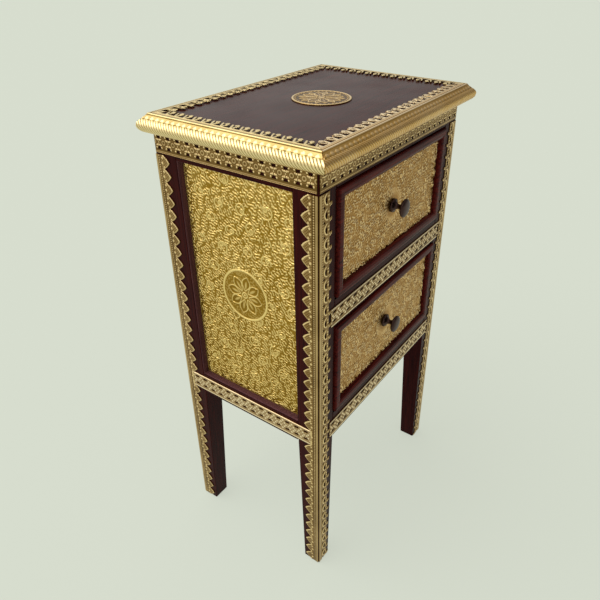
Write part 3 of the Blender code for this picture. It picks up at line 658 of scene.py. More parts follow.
class CABINET_OT_friezes(bpy.types.Operator):
    """Emboss and pierce the bands under the top: rosettes between two rows of holes."""

    bl_idname = "cabinet.friezes"
    bl_label = "Friezes"

    # the embossed sheet is trimmed short of the rail's edge
    FOOT = 1.4 * MM
    # rows of holes: height of the middle, half height, half width, how the width grows upwards,
    # and the distance square to a hole's flank as a share of the level distance
    ROWS = ((20.2, 1.75, 2.4, 0.29, 0.96), (7.8, 1.55, 2.1, -0.57, 0.87))
    # rosettes: height of the middle, then each ring's radius, half width and strength
    ROSETTE = 14.0 * MM
    RINGS = ((2.2, 0.8, 0.6), (4.6, 0.7, 0.35))
    # beads round a hole: out from its middle, up from the plate's lower edge, radius
    BEADS = ((1.3, 16.8, 1.3), (4.0, 20.7, 1.3), (1.4, 11.1, 1.3), (3.8, 8.0, 1.2), (3.3, 17.3, 1.0),
             (3.3, 10.8, 1.0))
    # drop between an upper and a lower hole: half width, and its height to its width
    DROP, DROP_STRETCH = 1.1 * MM, 1.5
    # fillets along the edges: up from the foot or down from the head, half width
    FOOT_FILLETS = ((0.7, 0.7), (2.3, 0.6))
    HEAD_FILLET = (1.1, 0.8)
    GROUND = 0.2
    # how crests sink towards the cut edges: over a width, by a share
    SINK = (0.5 * MM, 0.7)

    def execute(self, context):
        brass = embossed_brass("frieze", "trim")
        for node, turn in (("front_band_top", FRONT), ("side_band_top_left", LEFT),
                           ("side_band_top_right", RIGHT)):
            self.across, self.height = plate_size(node, turn)
            emboss("frieze_" + node, node, turn, sizes().mesh_step, brass, self.relief, self.outline)
        return {"FINISHED"}

    def place(self, u):
        """Distance from the nearest column of holes and from the nearest rosette."""
        hole, step = repeats(u, 0.0, self.across, sizes().frieze_pitch)
        return hole, step / 2 - np.abs(hole)

    def outline(self, u, v):
        """Signed distance inside the pierced sheet."""
        hole, _ = self.place(u)
        solid = plate_edge(u, v - self.FOOT, self.across, self.height - self.FOOT)
        for middle, half_height, half_width, growth, square in self.ROWS:
            up = v - middle * MM
            flank = (np.abs(hole) - half_width * MM - growth * up) * square
            solid = np.minimum(solid, np.maximum(np.abs(up) - half_height * MM, flank))
        return solid

    def relief(self, u, v):
        """Rise and polish over the face."""
        hole, side = self.place(u)
        up = v - self.ROSETTE
        far = np.hypot(side, up)
        rings = [strength * dome(far - radius * MM, half * MM) for radius, half, strength in self.RINGS]
        drop = dome(np.hypot(hole, up / self.DROP_STRETCH), self.DROP)
        fillets = [dome(v - self.FOOT - place * MM, half * MM) for place, half in self.FOOT_FILLETS]
        fillets.append(dome(self.height - v - self.HEAD_FILLET[0] * MM, self.HEAD_FILLET[1] * MM))
        crest = highest(*rings, beads(np.abs(hole), v, self.BEADS), 0.7 * drop, 0.55 * highest(*fillets),
                        self.GROUND)
        crest = sink(crest, self.outline(u, v), *self.SINK)
        return SHEET + RELIEF * crest, crest


class CABINET_OT_bands(bpy.types.Operator):
    """Emboss and pierce the narrow bands: two rows of slanted slots in a net of beads."""

    bl_idname = "cabinet.bands"
    bl_label = "Bands"

    # the bands on the sides are painted brighter than the front band: painted light, as the sides stand in
    # more light
    GROUND = {FRONT: 0.2, LEFT: 0.38, RIGHT: 0.38}
    # rows of slots: share of the height, half length, radius
    SLOTS = ((0.76, 3.2, 1.25), (0.26, 3.0, 1.15))
    SLANT = 0.12
    # beads between the slots, the same above and below: height, place in the repeat, radius, strength
    BEADS = ((6.2, 0.5, 1.9, 1.0), (2.9, 0.3, 1.8, 1.0), (2.9, 0.0, 1.3, 0.6), (0.0, 0.14, 1.7, 0.95),
             (0.0, 0.5, 1.5, 0.7))
    FILLET = 2.0 * MM
    # how crests sink towards the cut edges: over a width, by a share
    SINK = (0.5 * MM, 0.7)

    def execute(self, context):
        brass = embossed_brass("band", "band")
        for node, turn in (("front_band_middle", FRONT), ("front_band_bottom", FRONT),
                           ("side_band_bottom_left", LEFT), ("side_band_bottom_right", RIGHT)):
            self.across, self.height = plate_size(node, turn)
            self.ground = self.GROUND[turn]
            emboss("band_" + node, node, turn, sizes().mesh_step, brass, self.relief, self.outline)
        return {"FINISHED"}

    def outline(self, u, v):
        """Signed distance inside the pierced sheet."""
        slot, _ = repeats(u, 0.0, self.across, sizes().band_pitch)
        solid = plate_edge(u, v, self.across, self.height)
        for share, half_length, radius in self.SLOTS:
            hole = slot_shape(slot, v - share * self.height, (0.0, 0.0), self.SLANT, half_length, radius)
            solid = np.minimum(solid, hole)
        return solid

    def relief(self, u, v):
        """Rise and polish over the face."""
        slot, step = repeats(u, 0.0, self.across, sizes().band_pitch)
        off, up = np.abs(slot), np.abs(v - self.height / 2)
        edge = np.minimum(v, self.height - v)
        crest = highest(self.ground, 0.95 * blend(self.FILLET - edge, 0.0, SOFT))
        for height, place, radius, strength in self.BEADS:
            aside = np.minimum(np.abs(off - place * step), step - off - place * step)
            bead = np.hypot(aside, up - height * MM)
            crest = highest(crest, strength * dome(bead, radius * MM))
        crest = sink(crest, self.outline(u, v), *self.SINK)
        return SHEET + RELIEF * crest, crest


class CABINET_OT_leaf_strips(bpy.types.Operator):
    """Emboss the strips of pointed leaves on the legs' side faces."""

    bl_idname = "cabinet.leaf_strips"
    bl_label = "Leaf strips"

    # the leaves stop this far short of the lower band
    BAND_GAP = 0.3 * MM
    # distance square to a leaf's edge, as a share of the level distance
    SQUARE = 0.72
    # in from the corner: a fillet, a row of dots, and where the stipple and the leaves' rims start
    FILLET, DOT_LINE, STIPPLE_START, RIM_START = 3.4 * MM, 5.0 * MM, 7.4 * MM, 9.0 * MM
    DOT_PITCH, DOT = 2.7 * MM, 1.05 * MM
    # beads of a leaf: in from the corner, up from the leaf's middle, radius
    BEADS = ((9.2, -1.4, 1.8), (10.0, 4.6, 1.5), (11.2, 7.4, 1.2), (11.4, -5.6, 1.2))
    RIM_INSET, RIM = 0.9 * MM, 1.1 * MM
    # waves of the stipple across and up, the mean and the swing of its rise, and the rise of the plain ground
    STIPPLE_ACROSS, STIPPLE_UP, STIPPLE_MEAN, STIPPLE_SWING, GROUND = 3.4 * MM, 3.2 * MM, 0.32, 0.16, 0.16
    # how crests sink towards the cut edges: over a width, by a share
    SINK = (0.3 * MM, 0.5)

    def execute(self, context):
        brass = embossed_brass("leaf", "trim")
        for side, turn in SIDES:
            band_low, band_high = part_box("side_band_bottom_" + side)
            for end in ("front", "back"):
                node = f"leaf_strip_{end}_{side}"
                low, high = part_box(node)
                # whether the leg's corner is at the far end of the strip's width
                self.flip = (end == "front") == (side == "left")
                lap = sizes().corner_lap if self.flip else -sizes().corner_lap
                self.across, self.height = plate_size(node, turn, lap)
                self.band = (band_low.z - low.z - self.BAND_GAP, band_high.z - low.z + self.BAND_GAP)
                corner, stop = (low.y, band_low.y) if end == "front" else (high.y, band_high.y)
                self.valley = abs(corner) - abs(stop) + abs(lap)
                emboss(node.replace("strip", "trim"), node, turn, sizes().mesh_step, brass, self.relief,
                       self.outline, lap)
        return {"FINISHED"}

    def place(self, u, v):
        """Distance in from the corner, place within a leaf and the leaf's edge there."""
        deep = self.across - u if self.flip else u
        below, step_below = repeats(v, 0.0, self.band[0], sizes().leaf_pitch)
        above, step_above = repeats(v, self.band[1], self.height, sizes().leaf_pitch)
        off = np.where(v < self.band[0] + self.BAND_GAP, below / step_below, above / step_above)
        share = np.abs(2 * off)
        # half way between a straight edge and a round one
        reach = 1.0 - (share + share ** 2) / 2
        reach = np.where((v > self.band[0]) & (v < self.band[1]), 0.0, reach)
        return deep, off, self.valley + (self.across - self.valley) * reach

    def outline(self, u, v):
        """Signed distance inside the row of leaves."""
        deep, _, edge = self.place(u, v)
        return np.minimum(plate_edge(u, v, self.across, self.height), (edge - deep) * self.SQUARE)

    def relief(self, u, v):
        """Rise and polish over the face."""
        deep, off, edge = self.place(u, v)
        up = off * sizes().leaf_pitch
        fillet = blend(self.FILLET - deep, 0.0, SOFT)
        dots = dome(np.hypot(deep - self.DOT_LINE, repeats(v, 0.0, self.height, self.DOT_PITCH)[0]), self.DOT)
        # the rim stands higher and is brighter on a leaf's upper half: relief, and a painted highlight where
        # the light falls from above
        rim = np.where(up > 0, 0.95, 0.6) * dome((edge - deep) * self.SQUARE - self.RIM_INSET, self.RIM)
        stipple = np.cos(FULL_TURN * deep / self.STIPPLE_ACROSS) * np.cos(FULL_TURN * v / self.STIPPLE_UP)
        stipple = self.STIPPLE_MEAN + self.STIPPLE_SWING * stipple
        ground = np.where(deep > self.STIPPLE_START, stipple, self.GROUND)
        crest = highest(0.5 * fillet, 0.8 * dots, beads(deep, up, self.BEADS), rim * (deep > self.RIM_START),
                        ground)
        crest = sink(crest, self.outline(u, v), *self.SINK)
        return SHEET + RELIEF * crest, crest


class CABINET_OT_scroll_strips(bpy.types.Operator):
    """Emboss and pierce the running scrolls on the legs' front faces."""

    bl_idname = "cabinet.scroll_strips"
    bl_label = "Scroll strips"

    # in from the corner: a fillet, a row of dots, and the straight edge that the tongues reach past
    FILLET, DOT_LINE, EDGE = 3.0 * MM, 4.5 * MM, 17.0 * MM
    DOT_PITCH, DOT = 2.8 * MM, 1.05 * MM
    # tongue and holes of a scroll: place in from the corner and up, turn, half length, radius
    TONGUE = ((18.3, -6.0), 0.45, 3.8, 2.0)
    OVAL = ((11.0, 0.0), QUARTER_TURN - 0.12, 3.1, 1.4)
    EYE = ((7.4, -7.0), 0.0, 1.25, 1.25)
    # bow round the oval: centre, radius, half width
    BOW_CENTRE, BOW_RADIUS, BOW = (13.6 * MM, 1.6 * MM), 6.3 * MM, 1.15 * MM
    # beads of a scroll: in from the corner, up from its middle, radius
    BEADS = ((14.6, 3.8, 1.4), (14.6, 0.2, 1.5))
    # barbs on the tongue: in from the corner, up from the scroll's middle, length to width
    BARBS = ((16.4, -4.5, 2.6), (18.4, -6.6, 3.0))
    BARB_TURN, BARB = 0.48, 1.0 * MM
    GROUND = 0.33
    # how crests sink towards the cut edges: over a width, by a share
    SINK = (0.4 * MM, 0.7)

    def execute(self, context):
        brass = embossed_brass("scroll", "trim")
        for side, _ in SIDES:
            node = "scroll_strip_" + side
            self.flip = side == "right"
            lap = sizes().corner_lap if self.flip else -sizes().corner_lap
            self.across, self.height = plate_size(node, FRONT, lap)
            emboss("scroll_trim_" + side, node, FRONT, sizes().mesh_step, brass, self.relief, self.outline,
                   lap)
        return {"FINISHED"}

    def place(self, u, v):
        """Distance in from the corner and height from the middle of a scroll."""
        deep = (self.across - u if self.flip else u) - sizes().corner_lap
        return deep, repeats(v, 0.0, self.height, sizes().scroll_pitch)[0]

    def outline(self, u, v):
        """Signed distance inside the pierced sheet."""
        deep, up = self.place(u, v)
        solid = np.maximum(self.EDGE - deep, -slot_shape(deep, up, *self.TONGUE))
        for hole in (self.OVAL, self.EYE):
            solid = np.minimum(solid, slot_shape(deep, up, *hole))
        return np.minimum(plate_edge(u, v, self.across, self.height), solid)

    def relief(self, u, v):
        """Rise and polish over the face."""
        deep, up = self.place(u, v)
        fillet = blend(self.FILLET - deep, 0.0, SOFT)
        dots = dome(np.hypot(deep - self.DOT_LINE, repeats(v, 0.0, self.height, self.DOT_PITCH)[0]), self.DOT)
        aside, over = deep - self.BOW_CENTRE[0], up - self.BOW_CENTRE[1]
        bow = dome(np.hypot(aside, over) - self.BOW_RADIUS, self.BOW) * blend(-aside, -0.6 * MM, 1.2 * MM)
        crest = highest(0.55 * fillet, 0.9 * dots, bow, beads(deep, up, self.BEADS), self.GROUND)
        for depth, height, span in self.BARBS:
            along, across = turned(deep - depth * MM, up - height * MM, self.BARB_TURN)
            crest = highest(crest, 0.85 * dome(np.hypot(along / span, across), self.BARB))
        crest = sink(crest, self.outline(u, v), *self.SINK)
        return SHEET + RELIEF * crest, 0.9 * crest


class CABINET_OT_side_sheets(bpy.types.Operator):
    """Emboss the side sheets: winding strokes and scrolls round a ringed flower."""

    bl_idname = "cabinet.side_sheets"
    bl_label = "Side sheets"

    RISE = 0.85 * MM
    SCROLL_PITCH = 34.0 * MM
    # direction of the strokes on each side, how far they wind from it, and the first seed
    LEAN, SPREAD, SEED = {"left": -0.5, "right": 0.5}, 0.75, 11
    # the flower: petals, how they turn with the strokes, where they start and their length
    PETALS, PETAL_TURN, PETAL_START, PETAL_SPAN = 8, 0.35, 6.0 * MM, 20.0 * MM
    # its heart: radius of the button, then radius and half width of the ring round it
    BUTTON, HEART_RING, HEART_LINE = 1.6 * MM, 3.6 * MM, 0.9 * MM
    # half width of the flower's ring, and the plain border along the bead
    RING_LINE, BORDER = 1.5 * MM, 1.2 * MM

    def execute(self, context):
        brass = embossed_brass("side_sheet", "sheet")
        for number, (side, turn) in enumerate(SIDES):
            node = "side_sheet_" + side
            self.across, self.height = plate_size(node, turn)
            step, lean = sizes().sheet_step, self.LEAN[side]
            self.tilt = self.PETAL_TURN * lean
            self.canvas = Canvas((self.across, self.height), step, lean, self.SPREAD, self.SEED + number)
            self.canvas.press_scrolls(self.SCROLL_PITCH)
            emboss("side_leafwork_" + side, node, turn, step, brass, self.relief)
        return {"FINISHED"}

    def relief(self, u, v):
        """Rise and polish over the face."""
        ring = sizes().ring_radius
        x, y = u - self.across / 2, v - self.height / 2
        far = np.hypot(x, y)
        # the strokes are fainter within the ring
        crest = self.canvas.rise.ravel() * (0.3 + 0.7 * blend(far, ring + 1.0 * MM, ring + 2.5 * MM))
        petals, hollow = np.zeros_like(u), np.zeros_like(u)
        for number in range(self.PETALS):
            along, aside = turned(x, y, number * FULL_TURN / self.PETALS + self.tilt)
            rise, ground = self.petal(along - self.PETAL_START, aside, self.PETAL_SPAN)
            crest = crest * (1.0 - ground)
            petals, hollow = highest(petals, rise), highest(hollow, ground)
        crest = highest(crest, petals) * blend(far, 4.5 * MM, 6.5 * MM)
        crest = highest(crest, dome(far, self.BUTTON), dome(far - self.HEART_RING, self.HEART_LINE))
        crest = crest * blend(np.abs(far - ring), 1.2 * MM, 2.4 * MM)
        crest = highest(crest, 1.2 * dome(far - ring, self.RING_LINE))
        fringe = plate_edge(u, v, self.across, self.height) - sizes().bead_width
        border = blend(self.BORDER - fringe, 0.0, 0.4 * MM)
        crest = highest(crest * blend(fringe, 0.8 * MM, 2.2 * MM), 0.45 * border)
        # brighter towards the top, and a little darker on the ground inside the petals, as patina that partly
        # stands for painted shade
        shade = 0.24 + 0.1 * v / self.height - 0.03 * hollow
        return SHEET + self.RISE * crest, shade + (0.72 - 0.14 * hollow) * crest

    def petal(self, along, aside, span):
        """One pointed petal with a raised rim and a raised tongue, and the ground that it covers."""
        rim_radius, margin, fade = 0.9 * MM, 2.0 * MM, 1.0 * MM
        share = np.clip(along / span, 0.0, 1.0)
        edge = 0.3 * span * np.sin(math.pi * share ** 1.15)
        inside = (along > 0) & (along < span)
        rim = dome(np.abs(aside) - edge, rim_radius)
        tongue = dome(np.hypot((share - 0.42) / 0.3, aside / (0.09 * span)), 1.0)
        ground = blend(edge + margin - np.abs(aside), 0.0, fade)
        return highest(rim, 0.7 * tongue) * inside, ground * inside


class CABINET_OT_side_beads(bpy.types.Operator):
    """Frame the side sheets with rounded beads."""

    bl_idname = "cabinet.side_beads"
    bl_label = "Side beads"

    GLOSS = 0.1
    # points on the round of the section, with one more in the corner behind it
    ROUND_POINTS = 9

    def execute(self, context):
        # a lighter copy of the mahogany: painted light on the beads
        wood = french_polished_mahogany("bead", UPRIGHT, self.GLOSS, "bead_dark", "bead_light")
        for side, turn in SIDES:
            node = "side_sheet_" + side
            low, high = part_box(node)
            middle = (low + high) / 2
            bead = self.mitre("side_bead_" + side, *plate_size(node, turn))
            bead.location = (low.x if side == "left" else high.x, middle.y, middle.z)
            bead.rotation_euler = (QUARTER_TURN, 0.0, turn)
            place_piece(bead, node, wood)
        return {"FINISHED"}

    def mitre(self, name, across, height):
        """A ring of four corners, its round section drawn out to the recess and mitred."""
        bpy.ops.object.select_all(action="DESELECT")
        bpy.ops.mesh.primitive_torus_add(major_segments=4, minor_segments=self.ROUND_POINTS + 1)
        bead = name_piece(name)
        angle = np.linspace(0.0, QUARTER_TURN, self.ROUND_POINTS)
        inset = np.append(sizes().bead_width * np.cos(angle), 0.0)
        rise = np.append(sizes().bead_rise * np.sin(angle), 0.0)
        points = [(sign_x * (across / 2 - far), sign_y * (height / 2 - far), up)
                  for sign_x, sign_y in ((1, 1), (-1, 1), (-1, -1), (1, -1)) for far, up in zip(inset, rise)]
        write_points(bead.data, np.array(points))
        face_outwards()
        return bead


class CABINET_OT_drawer_sheets(bpy.types.Operator):
    """Emboss the drawer sheets: winding strokes in patches, smooth round the knob."""

    bl_idname = "cabinet.drawer_sheets"
    bl_label = "Drawer sheets"

    RISE = 1.1 * MM
    # direction of the strokes, how far they wind from it, and the first seed
    LEAN, SPREAD, SEED = 0.75, 1.0, 31
    PATCH_SPACING, PATCH_SPREAD = 26.0 * MM, 1.5
    # rays round the knob: count, radius of their middle, half length
    RAYS, RAY_RADIUS, RAY_HALF = 26, 18.0 * MM, 5.0 * MM
    # smooth out to the first radius, strokes in full from the second
    SMOOTH, FULL = 10.0 * MM, 24.0 * MM

    def execute(self, context):
        brass = embossed_brass("drawer_sheet", "drawer")
        for number, level in enumerate(LEVELS):
            node = "drawer_sheet_" + level
            self.across, self.height = plate_size(node, FRONT)
            step = sizes().mesh_step
            self.canvas = Canvas((self.across, self.height), step, self.LEAN, self.SPREAD, self.SEED + number)
            emboss("drawer_leafwork_" + level, node, FRONT, step, brass, self.relief)
        return {"FINISHED"}

    def relief(self, u, v):
        """Rise and polish over the face."""
        x, y = u - self.across / 2, v - self.height / 2
        far = np.hypot(x, y)
        spokes = 0.5 + 0.5 * np.cos(self.RAYS * np.arctan2(y, x))
        rays = 0.5 * spokes * dome(far - self.RAY_RADIUS, self.RAY_HALF)
        patches = blend(self.canvas.ridges(self.PATCH_SPACING, self.LEAN, self.PATCH_SPREAD), -0.7, 0.4)
        strokes = (self.canvas.rise * (0.55 + 0.45 * patches)).ravel() * blend(far, self.SMOOTH, self.FULL)
        crest = highest(strokes, rays)
        return SHEET + self.RISE * crest, 0.26 + 0.74 * crest


class CABINET_OT_top_edges(bpy.types.Operator):
    """Emboss the four mitred sheaths of the top: scroll border, ridge, pearls and gadroons."""

    bl_idname = "cabinet.top_edges"
    bl_label = "Top edges"

    # inset of the ridge from the outer edge, breadth of the flat border behind it, radius of the nosing
    RIDGE_INSET, BORDER, NOSING = 10.0 * MM, 20.5 * MM, 7.0 * MM
    # the section from the border over the ridge and down the slope: out from the ridge, down from it
    FALL = ((-BORDER / MM, 0.5), (-1.2, 0.5), (-0.5, 0.15), (0.0, 0.0), (0.5, 0.35), (2.1, 2.7), (2.9, 3.6),
            (3.9, 4.2))
    # the nosing's round, in degrees
    ROUND_START, ROUND_END, ROUND_STEPS = 112, 270, 24
    SHEATH = 0.8 * MM
    RISE = 0.6 * MM
    # the mitred ends stand back by this much
    MITRE_GAP = 0.2 * MM
    # in from the ridge: the plain strip and the line of balls; then the radii of a ball, its rim and its eye
    STRIP, BALL_LINE, BALL, BALL_RIM, BALL_EYE = 6.2 * MM, 16.4 * MM, 2.4 * MM, 1.7 * MM, 0.9 * MM
    # stem and leaf of a curl: place along the run and in from the ridge, turn, half length, radius
    STEM = ((1.6, 10.5), 1.35, 5.0, 0.85)
    LEAF = ((-3.6, 11.8), 2.02, 6.2, 0.85)
    # raised lines on the strip: in from the ridge, half width, strength
    LINES = ((5.6, 0.9, 0.8), (3.4, 0.8, 0.6))
    # pearls above the nosing: up from it, then radius and half width of the ring and radius of the pearl
    PEARL_LINE, PEARL_RING, PEARL_RIM, PEARL = 2.2 * MM, 1.5 * MM, 0.8 * MM, 0.9 * MM
    # grooves beyond the ridge and above the nosing
    RIDGE_GROOVE, NOSE_GROOVE, GROOVE = 1.6 * MM, 0.7 * MM, 0.7 * MM
    # reeds: run along for each step down, half width to pitch, depth to the rise
    REED_SLANT, REED_HALF, REED_DEPTH = 0.75, 0.44, 1.3

    def execute(self, context):
        brass = embossed_brass("nosing", "nosing")
        # the front edge has a shaded copy of the nosing's brass: painted shade
        front_shade_brass = embossed_brass("front_nosing", "front")
        bounds = [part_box("top_edge_" + name) for name in ("left", "right", "front", "back")]
        self.low = [min(box[0][axis] for box in bounds) for axis in range(3)]
        self.high = [max(box[1][axis] for box in bounds) for axis in range(3)]
        self.profile = self.section()
        for turn, name in enumerate(("front", "right", "back", "left")):
            self.build(name, turn, front_shade_brass if name == "front" else brass)
        return {"FINISHED"}

    def section(self):
        """The moulding's section from the border to the underside: inset, height, normal and path."""
        top, foot = self.high[2], self.low[2]
        line = [(self.RIDGE_INSET - out * MM, top - down * MM) for out, down in self.FALL]
        for degrees in np.linspace(self.ROUND_START, self.ROUND_END, self.ROUND_STEPS + 1):
            angle = math.radians(degrees)
            line.append((self.NOSING * (1 + math.cos(angle)), foot + self.NOSING * (1 + math.sin(angle))))
        line = np.array(line)
        path = np.concatenate(([0.0], np.cumsum(np.hypot(*np.diff(line, axis=0).T))))
        self.nose = path[len(self.FALL)]
        even = np.linspace(0.0, path[-1], round(path[-1] / sizes().sheath_step) + 1)
        inset, height = (np.interp(even, path, line[:, axis]) for axis in (0, 1))
        out, up = np.gradient(height, even), -np.gradient(inset, even)
        return inset, height, out, up, even

    def build(self, name, turn, brass):
        """One sheath along one edge, its ends mitred."""
        half = [(self.high[axis] - self.low[axis]) / 2 for axis in (0, 1)]
        self.run, across = half[turn % 2], half[1 - turn % 2]
        rows = len(self.profile[0]) - 1
        piece = add_grid("nosing_" + name, round(2 * self.run / sizes().sheath_step), rows)
        points = read_points(piece.data)
        row = np.rint((points[:, 1] + 0.5) * rows).astype(int)
        inset, height, out, up, path = (values[row] for values in self.profile)
        u = points[:, 0] * 2 * (self.run - inset - self.MITRE_GAP)
        rise, polish, solid = self.relief(u, path)
        # the front edge gets painted shade on its slope and nosing
        if name == "front":
            polish = self.paint_front_shade(polish, path)
        write_points(piece.data, np.column_stack((u, inset - across + out * rise, height + up * rise)))
        store_polish_and_shade(piece.data, polish)
        remove_outside(piece, solid)
        wall = piece.modifiers.new("sheet", "SOLIDIFY")
        wall.thickness = self.SHEATH
        wall.offset = -1.0
        bpy.ops.object.modifier_apply(modifier=wall.name)
        piece.rotation_euler = (0.0, 0.0, turn * QUARTER_TURN)
        piece.location = [(self.low[axis] + self.high[axis]) / 2 for axis in (0, 1)] + [0.0]
        finish_piece(piece, "top_edge_" + name, brass)

    def paint_front_shade(self, polish, path):
        """Darken the slope and the nosing of the front edge below its border: painted shade."""
        share = np.where(path > self.nose, 0.28, 0.4)
        return np.where(path > self.BORDER + 0.9 * MM, 0.2 + share * polish, 0.95 * polish)

    def relief(self, u, path):
        """Rise along the normal, polish and outline over the run and the section's path."""
        depth, past = self.BORDER - path, path - self.nose
        crest, solid = self.curls(u, depth)
        pearl = np.hypot(repeats(u, -self.run, self.run, sizes().pearl_pitch)[0], past + self.PEARL_LINE)
        pearl = highest(dome(pearl - self.PEARL_RING, self.PEARL_RIM), dome(pearl, self.PEARL))
        crest = highest(crest * (depth > 0), 0.6 * pearl)
        # a dark line inside the ridge, and a bright line along the ridge
        polish = 0.3 + 0.7 * crest - 0.3 * dome(depth - 2.0 * MM, 0.8 * MM)
        polish = highest(polish, 0.9 * dome(depth, 0.8 * MM)) + 0.06 * (depth < 0)
        groove = highest(dome(depth + self.RIDGE_GROOVE, self.GROOVE),
                         dome(past + self.NOSE_GROOVE, self.GROOVE))
        # the grooves are sunk and darker: patina partly standing for painted shade
        crest, polish = crest - 0.5 * groove, polish - 0.4 * groove
        pitch = sizes().gadroon_pitch
        reed, _ = repeats(u - self.REED_SLANT * past, -self.run, self.run, pitch)
        reeds = dome(reed, self.REED_HALF * pitch)
        share = blend(past, -0.8 * MM, 0.2 * MM)
        # the reeds' valleys are dark: patina partly standing for painted shade
        polish = polish * (1.0 - share) + share * reeds ** 1.8
        crest = crest * (1.0 - share) + share * (reeds - 1.0) * self.REED_DEPTH
        return crest * self.RISE, polish, solid

    def curls(self, u, depth):
        """The border's running curls: their rise, and the signed distance inside the cut sheet."""
        wave, _ = repeats(u, -self.run, self.run, sizes().wave_pitch)
        ball = np.hypot(wave, depth - self.BALL_LINE)
        stems = [slot_shape(wave, depth, *shape) for shape in (self.STEM, self.LEAF)]
        solid = highest(self.STRIP - depth, self.BALL - ball, *(-stem for stem in stems))
        ribs = [dome(stem + shape[-1] * MM, 1.0 * MM) for stem, shape in zip(stems, (self.STEM, self.LEAF))]
        lines = [strength * dome(depth - place * MM, half * MM) for place, half, strength in self.LINES]
        crest = highest(dome(ball - self.BALL_RIM, 0.8 * MM), dome(ball, self.BALL_EYE), *ribs, *lines)
        # nothing is cut beyond the ridge
        return crest, np.where(depth < 0, MM, solid)


class CABINET_OT_medallion(bpy.types.Operator):
    """Emboss the round medallion in the middle of the top."""

    bl_idname = "cabinet.medallion"
    bl_label = "Medallion"

    SHEET, RISE = 0.5 * MM, 0.6 * MM
    # in from the edge: the rim and the row of beads, with their half widths
    RIM_INSET, RIM, BEAD_INSET, BEAD = 1.6 * MM, 1.4 * MM, 4.6 * MM, 1.4 * MM
    BEADS, BEAD_PITCH = 40, 5.0 * MM
    LEAVES = 8
    # long and short leaves by turns: turn in shares of a leaf, start, length and half width
    LEAF_RINGS = ((0.0, 5.0, 22.0, 6.2), (0.5, 15.0, 13.0, 3.0))
    BUTTON = 4.4 * MM

    def execute(self, context):
        node = "top_medallion"
        low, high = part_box(node)
        self.radius = (high.x - low.x) / 2
        size = (2 * self.radius, 2 * self.radius)
        plate = press_plate("top_rosette", size, sizes().mesh_step, self.relief, self.outline)
        plate.location = (*((low + high) / 2)[:2], low.z)
        finish_piece(plate, node, embossed_brass("medallion", "trim"))
        return {"FINISHED"}

    def outline(self, u, v):
        """Signed distance inside the disc."""
        return self.radius - np.hypot(u - self.radius, v - self.radius)

    def relief(self, u, v):
        """Rise and polish over the face."""
        x, y = u - self.radius, v - self.radius
        edge = self.radius - np.hypot(x, y)
        bead = (np.arctan2(y, x) * self.BEADS / FULL_TURN % 1.0 - 0.5) * self.BEAD_PITCH
        crest = highest(dome(edge - self.RIM_INSET, self.RIM), dome(self.radius - edge, self.BUTTON),
                        0.8 * dome(np.hypot(edge - self.BEAD_INSET, bead), self.BEAD))
        for number in range(self.LEAVES):
            for share, start, span, half_width in self.LEAF_RINGS:
                along, aside = turned(x, y, (number + share) * FULL_TURN / self.LEAVES)
                leaf, _ = leaf_shape(along - start * MM, aside, span * MM, half_width * MM)
                crest = highest(crest, leaf)
        return self.SHEET + self.RISE * crest, 0.12 + 0.7 * crest


class CABINET_OT_knobs(bpy.types.Operator):
    """Turn the two knobs: lobed foot, thin waist and mushroom head."""

    bl_idname = "cabinet.knobs"
    bl_label = "Knobs"

    # radius and distance from the drawer front, in millimetres
    TURNING = ((8.9, 0.0), (9.0, 0.9), (8.2, 1.9), (6.2, 2.8), (4.4, 4.0), (3.3, 5.6), (2.9, 7.6), (3.1, 9.6),
               (4.2, 11.2), (6.6, 12.2), (9.4, 12.9), (10.9, 13.9), (11.3, 15.1), (10.9, 16.3), (9.4, 17.3),
               (6.6, 18.0), (3.0, 18.4))
    # lobes of the foot, their depth to its radius, and the ring of the turning where they have faded out
    LOBES, LOBE_DEPTH, LOBED_RINGS = 8, 0.12, 5

    def execute(self, context):
        bronze = patinated_bronze()
        for level in LEVELS:
            node = "knob_" + level
            low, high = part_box(node)
            knob = self.turn("turned_" + node)
            knob.rotation_euler.x = QUARTER_TURN
            knob.location = ((low.x + high.x) / 2, high.y, (low.z + high.z) / 2)
            finish_piece(knob, node, bronze)
        return {"FINISHED"}

    def turn(self, name):
        """Draw the section up from a ring, ring by ring."""
        bpy.ops.object.select_all(action="DESELECT")
        radius, last = self.TURNING[0]
        bpy.ops.mesh.primitive_circle_add(vertices=sizes().knob_steps, radius=radius * MM, fill_type="NGON")
        knob = name_piece(name)
        bpy.ops.object.mode_set(mode="EDIT")
        bpy.ops.mesh.select_all(action="SELECT")
        for wide, far in self.TURNING[1:]:
            bpy.ops.mesh.extrude_region_move(TRANSFORM_OT_translate={"value": (0.0, 0.0, (far - last) * MM)})
            grow = wide / radius
            bpy.ops.transform.resize(value=(grow, grow, 1.0), center_override=(0.0, 0.0, 0.0))
            radius, last = wide, far
        bpy.ops.object.mode_set(mode="OBJECT")
        face_outwards()
        self.lobe(knob)
        return knob

    def lobe(self, knob):
        """Scallop the foot into lobes that fade out at the waist."""
        points = read_points(knob.data)
        top = self.TURNING[self.LOBED_RINGS][1] * MM
        fade = np.clip(1.0 - points[:, 2] / top, 0.0, 1.0)
        angle = np.arctan2(points[:, 1], points[:, 0])
        factor = 1.0 - self.LOBE_DEPTH * fade * (0.5 - 0.5 * np.cos(self.LOBES * angle))
        points[:, :2] *= factor[:, None]
        write_points(knob.data, points)


